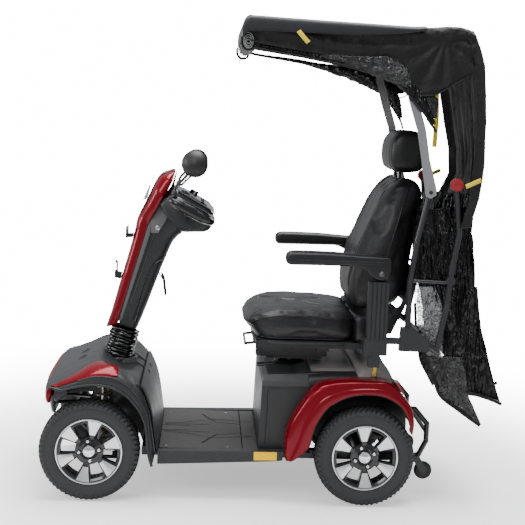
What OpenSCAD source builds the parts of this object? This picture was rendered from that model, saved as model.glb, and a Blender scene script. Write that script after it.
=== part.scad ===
// Four-wheel mobility scooter with a seat-mounted folding rain canopy.
// Front points to -X, left side to -Y, up is +Z. Millimetres, origin on the ground.

/* [Wheels] */
// Outer diameter of the drive and steering tyres
tyre_d = 330; // [300:5:360]
// Width of a tyre
tyre_w = 96; // [80:2:110]
// Diameter of the rim seat inside the tyre
rim_d = 212; // [190:2:230]
// Distance between the front and rear axles
wheelbase = 905; // [850:5:950]
// Distance from the middle plane to the middle of a tyre
half_track = 287; // [270:1:300]
// Diameter of the wheel axle stub
axle_d = 20; // [16:1:25]
// Number of spokes in an alloy wheel
spokes = 6; // [5:1:8]

/* [Steering] */
// Lean of the tiller and steering column from vertical, degrees
lean = 15; // [10:1:20]
// Distance from the middle plane to a kingpin
kingpin_y = 232; // [220:1:240]
// Length of a steering arm
arm_l = 80; // [70:2:84]
// Diameter of the steering stem
stem_d = 40; // [30:1:45]

/* [Body] */
// Half width of the shroud and fenders
body_half = 330; // [300:5:335]
// Height of the foot deck top
deck_z = 165; // [150:1:180]
// Half width of the foot deck
deck_half = 255; // [230:5:270]
// Half width of the seat box
box_half = 250; // [220:5:255]
// Wall of the plastic covers
wall = 5; // [3:0.5:8]

/* [Seat] */
// Diameter of the seat post
post_d = 38; // [30:1:45]
// Distance of the seat post behind the origin
post_x = 75; // [50:1:100]
// Half width of the seat cushion
seat_half = 250; // [220:5:260]
// Half width of the backrest
back_half = 230; // [200:5:250]
// Distance from the middle plane to an armrest pad
arm_y = 305; // [290:1:310]
// Width of an armrest pad
arm_w = 60; // [50:2:64]

/* [Canopy] */
// Half width of the canopy roof
roof_half = 340; // [320:5:350]
// Distance from the middle plane to a canopy side tube
can_y = 300; // [285:1:305]
// Diameter of a canopy tube
can_d = 20; // [16:1:25]

/* [Mounting] */
// Distance between the two basket bracket bolt holes
basket_pitch = 60; // [40:5:80]
// Diameter of a basket bracket bolt hole
basket_hole = 7; // [5:0.5:10]

/* [Hidden] */
$fn = 48;
front_x = -594;
rear_x = front_x + wheelbase;
axle_z = tyre_d / 2;
rim_r = rim_d / 2;
ax_r = axle_d / 2;
fit = 0.05;
piv_x = -521;
piv_z = 452;
can_px = 485;
can_pz = 1045;
arm_px = 336;
arm_pz = 778;
slide_px = -38;  // seat slide lever pivot
slide_pz = 499;
rec_px = 345;
rec_pz = 572;

// Sub-part to show

// outlines in the side plane, x then z
shroud_out = [[-760, 332], [-754, 362], [-742, 389], [-722, 411], [-698, 430], [-668, 455],
    [-640, 475], [-610, 491], [-580, 500], [-520, 500], [-459, 490], [-436, 478], [-417, 461],
    [-400, 433], [-388, 403], [-379, 373], [-373, 344], [-369, 300], [-369, 264], [-374, 118],
    [-390, 118], [-397, 160], [-405, 194], [-410, 252], [-420, 282], [-434, 308], [-471, 353],
    [-499, 371], [-527, 382], [-579, 390], [-638, 381], [-686, 367], [-715, 377], [-735, 338]];
shroud_in = [[-752, 300], [-746, 362], [-735, 386], [-716, 406], [-692, 425], [-662, 449],
    [-635, 469], [-607, 485], [-579, 494], [-521, 494], [-461, 484], [-440, 473], [-422, 457],
    [-406, 431], [-394, 401], [-385, 371], [-379, 343], [-375, 300], [-375, 264], [-381, 60],
    [-752, 60]];
fender_out = [[49, 146], [46, 200], [47, 238], [66, 284], [90, 326], [116, 366], [145, 400],
    [190, 414], [242, 421], [371, 423], [401, 407], [432, 372], [460, 336], [473, 283],
    [466, 239], [458, 262], [448, 301], [427, 336], [402, 357], [373, 371], [340, 378],
    [308, 379], [275, 376], [243, 368], [210, 351], [180, 330], [156, 295], [138, 256],
    [124, 196], [71, 150]];
fender_in = [[42, 60], [50, 238], [70, 282], [94, 324], [120, 363], [147, 396], [191, 410],
    [242, 417], [370, 419], [398, 404], [429, 369], [456, 334], [469, 283], [462, 60]];
tiller_front = [[-573, 524], [-554, 580], [-520, 708], [-477, 872], [-473, 903], [-446, 962],
    [-404, 1051], [-376, 1068], [-346, 1078], [-348, 1024], [-381, 992], [-412, 930],
    [-435, 880], [-454, 801], [-483, 711], [-524, 561], [-540, 534]];
tiller_rear = [[-530, 536], [-523, 561], [-482, 711], [-453, 801], [-434, 880], [-411, 930],
    [-397, 958], [-388, 943], [-360, 905], [-320, 862], [-352, 826], [-373, 775], [-397, 714],
    [-431, 617], [-465, 520]];
console_out = [[-380, 993], [-347, 1022], [-218, 952], [-209, 936], [-213, 894], [-233, 870],
    [-318, 866], [-358, 908], [-387, 945], [-396, 960]];
console_in = [[-420, 960], [-347, 1016], [-222, 948], [-214, 934], [-217, 896], [-236, 875],
    [-316, 871], [-355, 911], [-420, 960]];
back_out = [[232, 650], [216, 664], [212, 690], [225, 745], [246, 812], [268, 880], [300, 955],
    [330, 1024], [352, 1060], [387, 1083], [440, 1087], [472, 1076], [487, 1050], [484, 1010],
    [473, 960], [462, 880], [453, 815], [446, 730], [424, 664], [380, 648], [300, 644]];
roof_top = [[-138, 1557], [-132, 1570], [-122, 1576], [120, 1569], [430, 1561], [511, 1570],
    [560, 1567], [589, 1555], [600, 1541], [-140, 1541]];
roof_side = [[-140, 1541], [600, 1541], [618, 1518], [628, 1454], [606, 1430], [540, 1420],
    [470, 1360], [420, 1300], [380, 1330], [343, 1347], [286, 1387], [203, 1411], [67, 1435],
    [-85, 1453], [-120, 1495], [-141, 1528]];
curtain_back = [[600, 1548], [612, 1548], [632, 1520], [641, 1454], [655, 1281], [657, 1126],
    [656, 1031], [634, 940], [648, 885], [673, 724], [684, 642], [722, 481], [760, 384],
    [744, 379], [709, 478], [671, 640], [660, 722], [635, 884], [621, 940], [643, 1033],
    [644, 1126], [642, 1280], [629, 1452], [620, 1516]];
curtain_side = [[482, 1350], [606, 1428], [628, 1452], [641, 1280], [643, 1126], [642, 1033],
    [620, 940], [634, 884], [659, 722], [670, 640], [708, 478], [741, 384], [696, 273],
    [640, 330], [556, 372], [527, 439], [490, 512], [470, 600], [452, 740], [452, 980],
    [560, 1014], [556, 1084], [548, 1175], [518, 1265]];

module side(y0, y1) {
    translate([0, y1, 0]) rotate([90, 0, 0]) linear_extrude(y1 - y0) children();
}

module both(y0, y1) {
    side(y0, y1) children();
    side(-y1, -y0) children();
}

module bar(p, q, d) {
    v = q - p;
    translate(p) rotate([0, acos(v[2] / norm(v)), atan2(v[1], v[0])])
        cylinder(h = norm(v), d = d);
}

module box(x0, x1, y0, y1, z0, z1) {
    translate([x0, y0, z0]) cube([x1 - x0, y1 - y0, z1 - z0]);
}

module along_stem(s) {
    translate([piv_x, 0, piv_z]) rotate([0, lean, 0]) translate([0, 0, s]) children();
}

module beam(x0, x1, y, z0, z1, w) {
    difference() {
        box(x0, x1, y - w / 2, y + w / 2, z0, z1);
        box(x0 - 1, x1 + 1, y - w / 2 + 2.5, y + w / 2 - 2.5, z0 + 2.5, z1 - 2.5);
    }
}

module ycyl(x, y0, y1, z, r) {
    translate([x, y0, z]) rotate([-90, 0, 0]) cylinder(h = y1 - y0, r = r);
}

// welded steel frame with head tube, battery tray and seat post socket
module chassis_frame() {
    color("#2b2b2d") difference() {
        union() {
            for (s = [-1, 1]) beam(-430, 440, 150 * s, 112, 142, 30);
            box(-430, -400, -136, 136, 112, 142);
            box(-75, -50, -136, 136, 112, 142);
            box(415, 440, -136, 136, 112, 142);
            box(-34, 140, -215, 215, 142, 146);
            both(27, 33) polygon([[-386, 112], [-386, 200], [-440, 330], [-470, 425],
                [-560, 425], [-625, 260], [-625, 180], [-565, 180], [-500, 190], [-450, 165],
                [-430, 112]]);
            along_stem(-200) cylinder(h = 160, d = 64);
            translate([post_x, 0, 146]) cylinder(h = 249, d = 60);
            for (s = [-1, 1]) box(-300, -280, s * 202 - 38, s * 202 + 38, 118, 142);
            for (s = [-1, 1]) box(-100, -80, s * 202 - 38, s * 202 + 38, 118, 142);
        }
        along_stem(-230) cylinder(h = 240, r = stem_d / 2 + fit);
        along_stem(-41) cylinder(h = 100, r = 90);
        translate([post_x, 0, 160]) cylinder(h = 300, r = post_d / 2 + fit);
    }
}

// ribbed plastic foot plate with shallow grooves
module floor_deck() {
    color("#3a3a3c") difference() {
        box(-368, -40, -deck_half, deck_half, 143, deck_z);
        box(-362, -46, -deck_half + 5, deck_half - 5, 142, deck_z - 6);
        for (s = [-1, 1]) translate([0, 0, deck_z - 1.5]) linear_extrude(3) {
            polygon([[-369, 30 * s], [-270, 26 * s], [-270, 31 * s], [-369, 35 * s]]);
            polygon([[-230, 190 * s], [-178, 80 * s], [-90, 56 * s], [-90, 60 * s],
                [-175, 84 * s], [-225, 192 * s]]);
        }
        box(-92, -89, -deck_half - 1, deck_half + 1, deck_z - 1.5, deck_z + 1);
        for (x = [-345, -140], s = [-1, 1])
            translate([x, 225 * s, deck_z - 2]) cylinder(h = 4, d = 12);
    }
}

// sill mouldings along both sides
module side_rails() {
    color("#333335") both(deck_half + 1, 291)
        polygon([[-372, 119], [-372, 163], [-300, 164], [42, 170], [42, 140], [22, 137],
            [-300, 122]]);
}

// reflectors on the sills
module side_reflectors() {
    color("#f0a020") both(291, 295) polygon([[-54, 140], [-54, 167], [22, 168], [22, 141]]);
}

module shroud_plan(d) {
    translate([0, 0, 50]) linear_extrude(480) polygon([
        for (s = [1, -1], p = s > 0 ? [0, 1, 2, 3, 4, 5, 6] : [6, 5, 4, 3, 2, 1, 0])
        [[-768 + d, -758 + d, -742 + d, -716 + d, -670 + d, -600, -350][p],
        s * ([120, 200, 258, 300, 324, body_half, body_half][p] - d)]]);
}

// front cowl over both front wheels
module front_shroud() {
    color("#343436") difference() {
        intersection() {
            side(-body_half, body_half) polygon(shroud_out);
            shroud_plan(0);
        }
        intersection() {
            side(-body_half + wall, body_half - wall) polygon(shroud_in);
            shroud_plan(6);
        }
        box(-420, -340, -293, 293, 60, 172);
        along_stem(-60) cylinder(h = 120, d = 124);
    }
}

// painted panels set on the cowl sides
module front_side_panels() {
    color("#8c0f1e") difference() {
        intersection() {
            both(200, body_half + 4) polygon([[-706, 404], [-650, 446], [-592, 483],
                [-561, 487], [-506, 457], [-510, 428], [-545, 438], [-569, 440], [-640, 422],
                [-699, 394]]);
            shroud_plan(-4);
        }
        shroud_plan(-0.2);
    }
}

// painted bumper with its dark lower lip
module front_bumper() {
    color("#8c0f1e") difference() {
        union() {
            side(-262, 262) polygon([[-738, 386], [-749, 377], [-758, 345], [-760, 337],
                [-758, 306], [-740, 306], [-742, 336], [-733, 380]]);
            side(-120, 120) polygon([[-756, 306], [-748, 238], [-738, 232], [-728, 240],
                [-736, 306]]);
        }
        intersection() {
            side(-300, 300) polygon(shroud_out);
            shroud_plan(0);
        }
    }
    color("#2b2b2d") difference() {
        for (s = [-1, 1]) bar([-740, 60 * s, 262], [-622, 24 * s, 262], 12);
        side(-130, 130) polygon([[-756, 306], [-748, 238], [-738, 232], [-728, 240],
            [-736, 306]]);
        both(27, 33) polygon([[-560, 425], [-625, 260], [-625, 180], [-565, 180]]);
        along_stem(-200) cylinder(h = 160, d = 64);
    }
}

module box_cover(d) {
    side(-box_half + d, box_half - d) polygon([[-39 + d, 150], [-33 + d, 388],
        [-28 + d, 403 - d], [-14, 415 - d], [188 + d, 424 - d], [188 + d, 356 + d / 2],
        [142 + 3 * d, 345 + d / 2], [97 + 3 * d, 250], [76 + 3 * d, 150]]);
}

// seat box over the batteries, with the round opening for the seat post
module battery_cover() {
    color("#343436") difference() {
        intersection() {
            box_cover(0);
            translate([-100, 0, 0]) rotate([90, 0, 90]) linear_extrude(400) polygon([
                [-250, 100], [-250, 382], [-240, 396], [-214, 426], [214, 426], [240, 396],
                [250, 382], [250, 100]]);
            box(-100, 300, -300, 300, 165.5, 500);
        }
        intersection() {
            box_cover(wall);
            translate([-100, 0, 0]) rotate([90, 0, 90]) linear_extrude(400) polygon([
                [-245, 100], [-245, 380], [-236, 392], [-211, 421], [211, 421], [236, 392],
                [245, 380], [245, 100]]);
        }
        translate([post_x, 0, 400]) cylinder(h = 50, d = 104);
    }
}

// painted rear wheel arches
module rear_fenders() {
    color("#8c0f1e") difference() {
        both(box_half + 1, 335) polygon(fender_out);
        both(box_half - 1, 331) polygon(fender_in);
    }
}

// light covers behind the seat post
module rear_top_cover() {
    color("#8d8a87") difference() {
        union() {
            side(-200, 200) polygon([[140, 422], [152, 431], [170, 434], [270, 434],
                [284, 430], [284, 424], [189, 424.2]]);
            side(-box_half, box_half) polygon([[189, 400], [189, 424.2], [286, 424.2],
                [294, 444], [308, 451], [330, 453], [372, 446], [393, 436], [409, 404],
                [440, 360], [424, 340], [300, 396]]);
            side(-232, 232) polygon([[409, 404], [438, 362], [456, 320], [463, 262],
                [463, 200], [440, 200], [360, 396]]);
        }
        side(-194, 194) polygon([[146, 419], [156, 427], [172, 430], [268, 430], [279, 428],
            [279, 380], [190, 380]]);
        ycyl(338, -300, -249, 432, 2.9);
        side(-box_half + 4, box_half - 4) polygon([[180, 380], [180, 419], [290, 419],
            [297, 441], [309, 447], [330, 449], [370, 442], [390, 433], [405, 401],
            [434, 358], [420, 330], [240, 330]]);
        side(-228, 228) polygon([[405, 401], [434, 360], [452, 318], [459, 262], [459, 190],
            [200, 190], [200, 380]]);
    }
    color("#8d8a87") {
        side(-253.5, -246) polygon([[328, 425], [328, 440], [348, 440], [348, 425]]);
        ycyl(338, -266, -248, 432, 3);
    }
}

// tubular guards and anti-tip brackets
module rear_bumper_bar() {
    color("#1c1c1e") {
        for (s = [-1, 1]) {
            bar([465, 200 * s, 306], [492, 200 * s, 303], 18);
            bar([492, 200 * s, 303], [535, 200 * s, 254], 18);
            bar([535, 200 * s, 254], [535, 200 * s, 194], 18);
            bar([535, 200 * s, 194], [508, 200 * s, 138], 18);
            translate([492, 200 * s, 303]) sphere(d = 19);
            translate([535, 200 * s, 254]) sphere(d = 19);
            translate([535, 200 * s, 194]) sphere(d = 19);
            difference() {
                side(s > 0 ? 188 : -200, s > 0 ? 200 : -188) polygon([[440, 112], [440, 142],
                    [508, 150], [545, 92], [538, 74], [526, 74], [500, 118]]);
                box(400, 440, -300, 300, 100, 160);
            }
            ycyl(534, s > 0 ? 166 : -190, s > 0 ? 190 : -166, 84, 4);
        }
        bar([535, -200, 224], [535, 200, 224], 15);
        for (s = [-1, 1]) box(440, 452, s * 150 - 15, s * 150 + 45, 112, 142);
    }
}

// rear lamps at the top corners
module tail_lamps() {
    color("#a01018") both(200, 246) polygon([[410, 407], [424, 402], [446, 366], [440, 362]]);
}

// two sealed batteries
module batteries() {
    color("#262628") for (s = [-1, 1])
        box(-26, 128, s > 0 ? 40 : -210, s > 0 ? 210 : -40, 146, 352);
}

// motor, gearbox and rear axle
module transaxle() {
    color("#5a5a5c") {
        ycyl(rear_x, -225, 225, axle_z, 23);
        ycyl(rear_x, -45, 45, axle_z, 62);
        bar([rear_x + 30, 0, 190], [rear_x + 142, 0, 190], 94);
        for (s = [-1, 1]) ycyl(rear_x, s > 0 ? 225 : -316, s > 0 ? 316 : -225, axle_z, ax_r);
    }
}

// beam with kingpin bosses
module front_axle() {
    color("#2b2b2d") difference() {
        union() {
            box(front_x - 15, front_x + 15, -222, 222, 150, 180);
            for (s = [-1, 1]) translate([front_x, kingpin_y * s, 130]) cylinder(h = 70, r = 14);
        }
        for (s = [-1, 1]) translate([front_x, kingpin_y * s, 120])
            cylinder(h = 90, r = 8 + fit);
    }
}

// brake release lever
module freewheel_lever() {
    color("#e8c020") difference() {
        union() {
            side(-262, -254) polygon([[333, 434], [343, 434], [344, 460], [335, 460]]);
            ycyl(338, -262, -254, 432, 6);
        }
        ycyl(338, -264, -250, 432, 3 + fit);
    }
}

module knuckle(s) {
    color("#3c3c3e") mirror([0, s > 0 ? 0 : 1, 0]) {
        difference() {
            union() {
                for (z = [119, 203]) translate([front_x, kingpin_y, z]) cylinder(h = 8, r = 16);
                for (z = [119, 203]) box(front_x - 16, front_x + 16, kingpin_y, 250, z, z + 8);
                box(front_x - 16, front_x + 16, 249, 257, 119, 211);
                translate([0, 0, 119]) linear_extrude(8) polygon([[front_x, 222],
                    [front_x + arm_l, 224], [front_x + arm_l + 8, 228],
                    [front_x + arm_l + 8, 236], [front_x + arm_l, 240], [front_x, 242]]);
            }
            box(front_x - 15.5, front_x + 15.5, 200, kingpin_y + 15.5, 127.4, 202.6);
        }
        translate([front_x, kingpin_y, 120]) cylinder(h = 90, r = 8);
        translate([front_x + arm_l, kingpin_y, 125]) cylinder(h = 18, r = 5);
        ycyl(front_x, 256, 316, axle_z, ax_r);
    }
}

// steering knuckle, left
module knuckle_left() {
    knuckle(-1);
}

// steering knuckle, right
module knuckle_right() {
    knuckle(1);
}

// rod between the two steering arms
module tie_rod() {
    color("#4a4a4c") difference() {
        union() {
            bar([front_x + arm_l, -222, 135], [front_x + arm_l, 222, 135], 11);
            for (s = [-1, 1]) translate([front_x + arm_l, kingpin_y * s, 129])
                cylinder(h = 12, r = 11);
        }
        translate([front_x + arm_l, -kingpin_y, 120]) cylinder(h = 30, r = 5 + fit);
        translate([front_x + arm_l, kingpin_y, 120]) cylinder(h = 30, r = 5.45);
    }
}

// steering stem with the clevis that holds the tiller
module steering_column() {
    color("#3c3c3e") {
        along_stem(-215) cylinder(h = 183, r = stem_d / 2);
        along_stem(-39.5) cylinder(h = 8, r = 33);
        both(23, 29) polygon([for (a = [-90:15:90]) [piv_x + 23 * sin(a), piv_z + 23 * cos(a)],
            [piv_x + 12, piv_z - 36], [piv_x - 25, piv_z - 33]]);
        ycyl(piv_x, -31, 31, piv_z, 8);
    }
}

module tyre(x, s) {
    color("#2a2a2b") translate([x, s * half_track, axle_z]) rotate([90, 0, 0])
        rotate_extrude($fn = 96) polygon([[rim_r, -36], [rim_r + 4, -37], [118, -44],
        [132, -tyre_w / 2], [146, -tyre_w / 2], [157, -44], [163, -34], [axle_z, -20],
        [axle_z, 20], [163, 34], [157, 44], [146, tyre_w / 2], [132, tyre_w / 2], [118, 44],
        [rim_r + 4, 37], [rim_r, 36]]);
}

module tyre_fl() {
    tyre(front_x, -1);
}

module tyre_fr() {
    tyre(front_x, 1);
}

module tyre_rl() {
    tyre(rear_x, -1);
}

module tyre_rr() {
    tyre(rear_x, 1);
}

module alloy(x, s) {
    translate([x, s * half_track, axle_z]) rotate([s > 0 ? -90 : 90, 0, 0]) {
        color("#c9cacc") difference() {
            union() {
                rotate_extrude($fn = 96) polygon([[rim_r - 7, -40], [rim_r + 2, -40],
                    [rim_r + 2, -37.6], [rim_r - 0.4, -37], [rim_r - 0.4, 37],
                    [rim_r + 2, 37.6], [rim_r + 2, 40], [rim_r - 8, 40], [rim_r - 8, 12]]);
                rotate_extrude($fn = 96) polygon([[0, -30], [26, -30], [30, 16], [rim_r - 6, 20],
                    [rim_r - 6, 34], [rim_r - 12, 34], [46, 28], [40, 24], [28, 24], [26, 27],
                    [0, 27]]);
            }
            for (i = [0:spokes - 1]) rotate([0, 0, i * 360 / spokes + 50]) translate([0, 0, 8])
                linear_extrude(40) polygon([[44, -6], [88, -33], [94, -20], [96, 0], [94, 20],
                [88, 33], [44, 6]]);
            translate([0, 0, -41]) cylinder(h = 73, r = ax_r + fit);
        }
        color("#d8d8da") translate([0, 0, 29.4]) cylinder(h = 6, r1 = 19, r2 = 14);
        color("#d8d8da") for (a = [0:90:270]) rotate([0, 0, a + 12]) translate([33, 0, 24])
            cylinder(h = 8, r = 6, $fn = 6);
    }
}

module alloy_wheel_fl() {
    alloy(front_x, -1);
}

module alloy_wheel_fr() {
    alloy(front_x, 1);
}

module alloy_wheel_rl() {
    alloy(rear_x, -1);
}

module alloy_wheel_rr() {
    alloy(rear_x, 1);
}

module anti_tip(s) {
    color("#242425") translate([534, s * 176, 84]) rotate([90, 0, 0]) rotate_extrude()
        polygon([[4 + fit, -10], [24, -10], [30, -6], [31, 0], [30, 6], [24, 10],
        [4 + fit, 10]]);
}

// small rear safety wheel, left
module anti_tip_wheel_left() {
    anti_tip(-1);
}

// small rear safety wheel, right
module anti_tip_wheel_right() {
    anti_tip(1);
}

// steel tube up the middle of the tiller
module tiller_post() {
    color("#2b2b2d") difference() {
        union() {
            along_stem(34) cylinder(h = 410, d = 40);
            ycyl(piv_x, -22, 22, piv_z, 20);
            along_stem(0) translate([-17, -20, 0]) cube([34, 40, 44]);
        }
        ycyl(piv_x, -40, 40, piv_z, 8 + fit);
    }
}

// painted front cover of the tiller
module tiller_front_cover() {
    color("#8c0f1e") difference() {
        union() {
            side(-78, 78) intersection() {
                polygon(tiller_front);
                translate([-700, 400]) square([500, 500]);
            }
            side(-125, 125) intersection() {
                polygon(tiller_front);
                translate([-700, 900]) square([500, 300]);
            }
        }
        side(-74, 74) translate([7, -2]) polygon(tiller_front);
        side(-121, 121) intersection() {
            translate([7, -5]) polygon(tiller_front);
            translate([-700, 905]) square([500, 300]);
        }
        side(-60, 60) polygon([[-600, 480], [-600, 552], [-500, 540], [-500, 480]]);
    }
}

// dark rear cover of the tiller
module tiller_rear_cover() {
    color("#343436") difference() {
        side(-72, 72) polygon(tiller_rear);
        side(-68, 68) translate([-6, -6]) polygon(tiller_rear);
    }
    color("#343436") {
        both(4.4, 8) polygon([[-401, 702], [-393, 730], [-384, 716], [-382, 706]]);
        ycyl(-387.5, -8, 8, 710.5, 3);
    }
}

// ribbed rubber gaiter round the tilt pivot
module tiller_bellows() {
    color("#1f1f20") along_stem(-14) rotate_extrude() polygon([[43, 0], [50, 4],
        for (i = [0:5]) each [[i % 2 > 0 ? 47 : 49, 12 * i + 7], [43, 12 * i + 14]],
        [46, 84], [43, 84], [39, 76], [38.5, 5], [39, 0]]);
}

// control console
module console() {
    color("#3a3a3c") difference() {
        side(-125, 125) polygon(console_out);
        side(-121, 121) polygon(console_in);
        for (y = [-60, 60]) translate([-286, y, 984.6]) rotate([0, 28.5, 0])
            translate([0, 0, -20]) cylinder(h = 40, r = 4 + fit);
    }
}

// lamp lens in the head of the tiller
module headlamp() {
    color("#e8eef2") side(-42, 42) polygon([[-452.8, 970], [-441, 974], [-430.2, 1018],
        [-433.5, 1019]]);
}

// closed loop hand grips on both sides of the console
module handlebar() {
    color("#1a1a1b") for (s = [0, 1]) mirror([0, s, 0]) {
        translate([-285, 0, 955.5]) rotate([0, 27, 0]) {
            ycyl(-72, 125, 238, 0, 14);
            ycyl(72, 125, 238, 0, 14);
            translate([-42, 268, 0]) rotate([0, 90, 0]) cylinder(h = 84, r = 14);
            translate([-36, 268, 0]) rotate([0, 90, 0]) cylinder(h = 72, r = 17.5);
            translate([-42, 238, 0]) rotate([0, 0, 90]) rotate_extrude(angle = 90)
                translate([30, 0]) circle(r = 14);
            translate([42, 238, 0]) rotate_extrude(angle = 90)
                translate([30, 0]) circle(r = 14);
        }
        box(-306, -294, 125, 160, 910, 921);
        translate([-300, 150, 912]) cylinder(h = 30, r = 4);
        translate([-340, 259, 986]) cylinder(h = 29, r = 4);
    }
}

// finger paddle for the speed
module throttle_lever() {
    color("#1a1a1b") {
        difference() {
            union() {
                translate([-300, 150, 925]) cylinder(h = 14, r = 11);
                translate([0, 0, 926]) linear_extrude(10) polygon([[-306, 145], [-270, 158],
                    [-262, 226], [-273, 230], [-284, 172], [-306, 158]]);
            }
            translate([-300, 150, 920]) cylinder(h = 30, r = 4 + fit);
        }
    }
}

// squeeze lever for the brake
module brake_lever() {
    color("#1a1a1b") difference() {
        union() {
            translate([-300, -150, 925]) cylinder(h = 14, r = 11);
            translate([0, 0, 926]) linear_extrude(10) polygon([[-306, -145], [-270, -158],
                [-262, -226], [-273, -230], [-284, -172], [-306, -158]]);
        }
        translate([-300, -150, 920]) cylinder(h = 30, r = 4 + fit);
    }
}

module mirror_part(s) {
    mirror([0, s > 0 ? 0 : 1, 0]) {
        color("#1f1f20") translate([-284, 286, 1112]) rotate([0, 90, -58]) difference() {
            rotate_extrude() polygon([[0, -26], [22, -22], [38, -12], [45, 2], [46, 12],
                [42, 12], [42, 8], [0, 8]]);
        }
        color("#d8dde0") translate([-284, 286, 1112]) rotate([0, 90, -58])
            translate([0, 0, 8]) cylinder(h = 3, r = 41.6);
        color("#1f1f20") bar([-337, 261.5, 1018], [-300, 284, 1078], 9);
        color("#1f1f20") difference() {
            translate([-340, 259, 1004]) cylinder(h = 18, r = 9);
            translate([-340, 259, 1000]) cylinder(h = 16, r = 4 + fit);
        }
    }
}

// mirror on the left grip
module mirror_left() {
    mirror_part(-1);
}

// mirror on the right grip
module mirror_right() {
    mirror_part(1);
}

module console_top(x, y, z) {
    translate([x, y, z]) rotate([0, 28.5, 0]) children();
}

// speed limit knob
module speed_dial() {
    color("#222223") console_top(-286, 60, 984.6) {
        translate([0, 0, -14]) cylinder(h = 20, r = 4);
        translate([0, 0, 5]) cylinder(h = 14, r = 15);
        translate([5, -1.5, 19]) cube([9, 3, 1.5]);
    }
}

// ignition key
module key() {
    color("#b9babc") console_top(-286, -60, 984.6) {
        translate([0, 0, -14]) cylinder(h = 20, r = 4);
        translate([-2, -9, 6]) cube([4, 18, 20]);
    }
}

// tilt release lever behind the tiller
module tilt_lever() {
    color("#1a1a1b") {
        difference() {
            side(-4, 4) polygon([[-393, 707], [-393, 714], [-388, 717], [-380, 715], [-372, 700],
                [-364, 640], [-372, 634], [-380, 690], [-388, 704]]);
            ycyl(-387.5, -10, 10, 710.5, 3 + fit);
        }
    }
}

// plate with two holes for a front basket, and its lower hook
module basket_bracket() {
    color("#222223") difference() {
        union() {
            box(-509, -504, -45, 45, 838, 874);
            side(-20, 20) polygon([[-505, 838], [-505, 850], [-484, 850], [-487, 838]]);
            side(-14, 14) polygon([[-534, 694], [-546, 697], [-546, 720], [-541, 720],
                [-541, 748], [-546, 752], [-543, 756], [-536, 750], [-536, 716],
                [-520, 713], [-525, 692]]);
        }
        for (s = [-1, 1]) translate([-520, s * basket_pitch / 2, 862]) rotate([0, 90, 0])
            cylinder(h = 30, d = basket_hole);
        side(-79, 79) polygon(tiller_front);
    }
}

// swivelling post with the fixed seat slide tracks
module seat_post() {
    color("#c2c3c5") translate([post_x, 0, 210]) cylinder(h = 243, d = post_d);
    color("#2b2b2d") {
        difference() {
            box(post_x - 95, post_x + 95, -135, 135, 453, 459);
            translate([30, -62, 440]) cylinder(h = 40, r = 5 + fit);
        }
        for (s = [-1, 1]) box(-38, 175, s * 120 - 12, s * 120 + 12, 459, 475);
    }
}

// lever that frees the seat swivel
module swivel_lever() {
    color("#1c1c1e") {
        translate([30, -62, 436]) cylinder(h = 24, r = 5);
        translate([30, -62, 436]) cylinder(h = 12, r = 12);
        bar([30, -62, 443], [4, -190, 446], 9);
        bar([4, -190, 446], [-44, -202, 445], 9);
        translate([4, -190, 446]) sphere(d = 10);
        bar([-26, -198, 445], [-52, -205, 445], 13);
    }
}

// seat pan with moving slide channels and recliner brackets
module seat_base() {
    color("#232325") {
        for (s = [-1, 1]) difference() {
            box(-53, 190, s * 120 - 16, s * 120 + 16, 462, 492);
            box(-60, 200, s * 120 - 12.5, s * 120 + 12.5, 450, 475.6);
        }
        box(-30, 30, -200, 200, 492, 506);
        box(150, 190, -200, 200, 492, 506);
        box(-57, 300, -215, 215, 506, 529);
        both(212, 219) polygon([[293, 508], [304, 508], [352, 544], [rec_px + 22, rec_pz],
            [rec_px + 12, rec_pz + 20], [rec_px - 12, rec_pz + 20], [293, 545]]);
        both(212, 219) polygon([[240, 508], [302, 508], [360, 548], [340, 560], [296, 529],
            [240, 529]]);
        for (s = [-1, 1]) ycyl(rec_px, s > 0 ? 196 : -214, s > 0 ? 214 : -196, rec_pz, 6);
        both(97, 103) polygon([[slide_px - 6, 493], [-29, 493], [-29, 505], [slide_px - 6, 505]]);
        for (s = [-1, 1]) ycyl(slide_px, s > 0 ? 85 : -98, s > 0 ? 98 : -85, slide_pz, 3.5);
    }
}

// bar that frees the seat slide
module slide_lever() {
    color("#1c1c1e") difference() {
        union() {
            both(86, 94) polygon([[-33, 494], [-33, 504], [-44, 504], [-92, 496], [-92, 488],
                [-44, 494]]);
            box(-92, -84, -87, 87, 488, 496);
        }
        ycyl(slide_px, -96, 96, slide_pz, 3.5 + fit);
    }
}

// seat cushion
module seat_cushion() {
    color("#29292b") intersection() {
        side(-seat_half, seat_half) polygon([[-84, 531], [-96, 552], [-104, 584], [-103, 606],
            [-94, 622], [-76, 631], [-40, 635], [40, 634], [140, 629], [262, 625],
            [288, 615], [292, 600], [290, 531]]);
        translate([0, 0, 500]) linear_extrude(200) polygon([[-105, -190], [-98, -215],
            [-80, -236], [-50, -248], [0, -250], [250, -250], [292, -235], [292, 235],
            [250, 250], [0, 250], [-50, 248], [-80, 236], [-98, 215], [-105, 190]]);
    }
}

// backrest cushion with head restraint sockets
module backrest_cushion() {
    color("#29292b") difference() {
        intersection() {
            side(-back_half, back_half) polygon(back_out);
            translate([100, 0, 0]) rotate([90, 0, 90]) linear_extrude(500) polygon([
                [-195, 640], [-222, 680], [-230, 740], [-230, 860], [-222, 960], [-200, 1040],
                [-170, 1076], [-130, 1090], [130, 1090], [170, 1076], [200, 1040],
                [222, 960], [230, 860], [230, 740], [222, 680], [195, 640]]);
        }
        for (s = [-1, 1]) translate([422, 50 * s, 930]) cylinder(h = 200, r = 6 + fit);
    }
}

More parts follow.
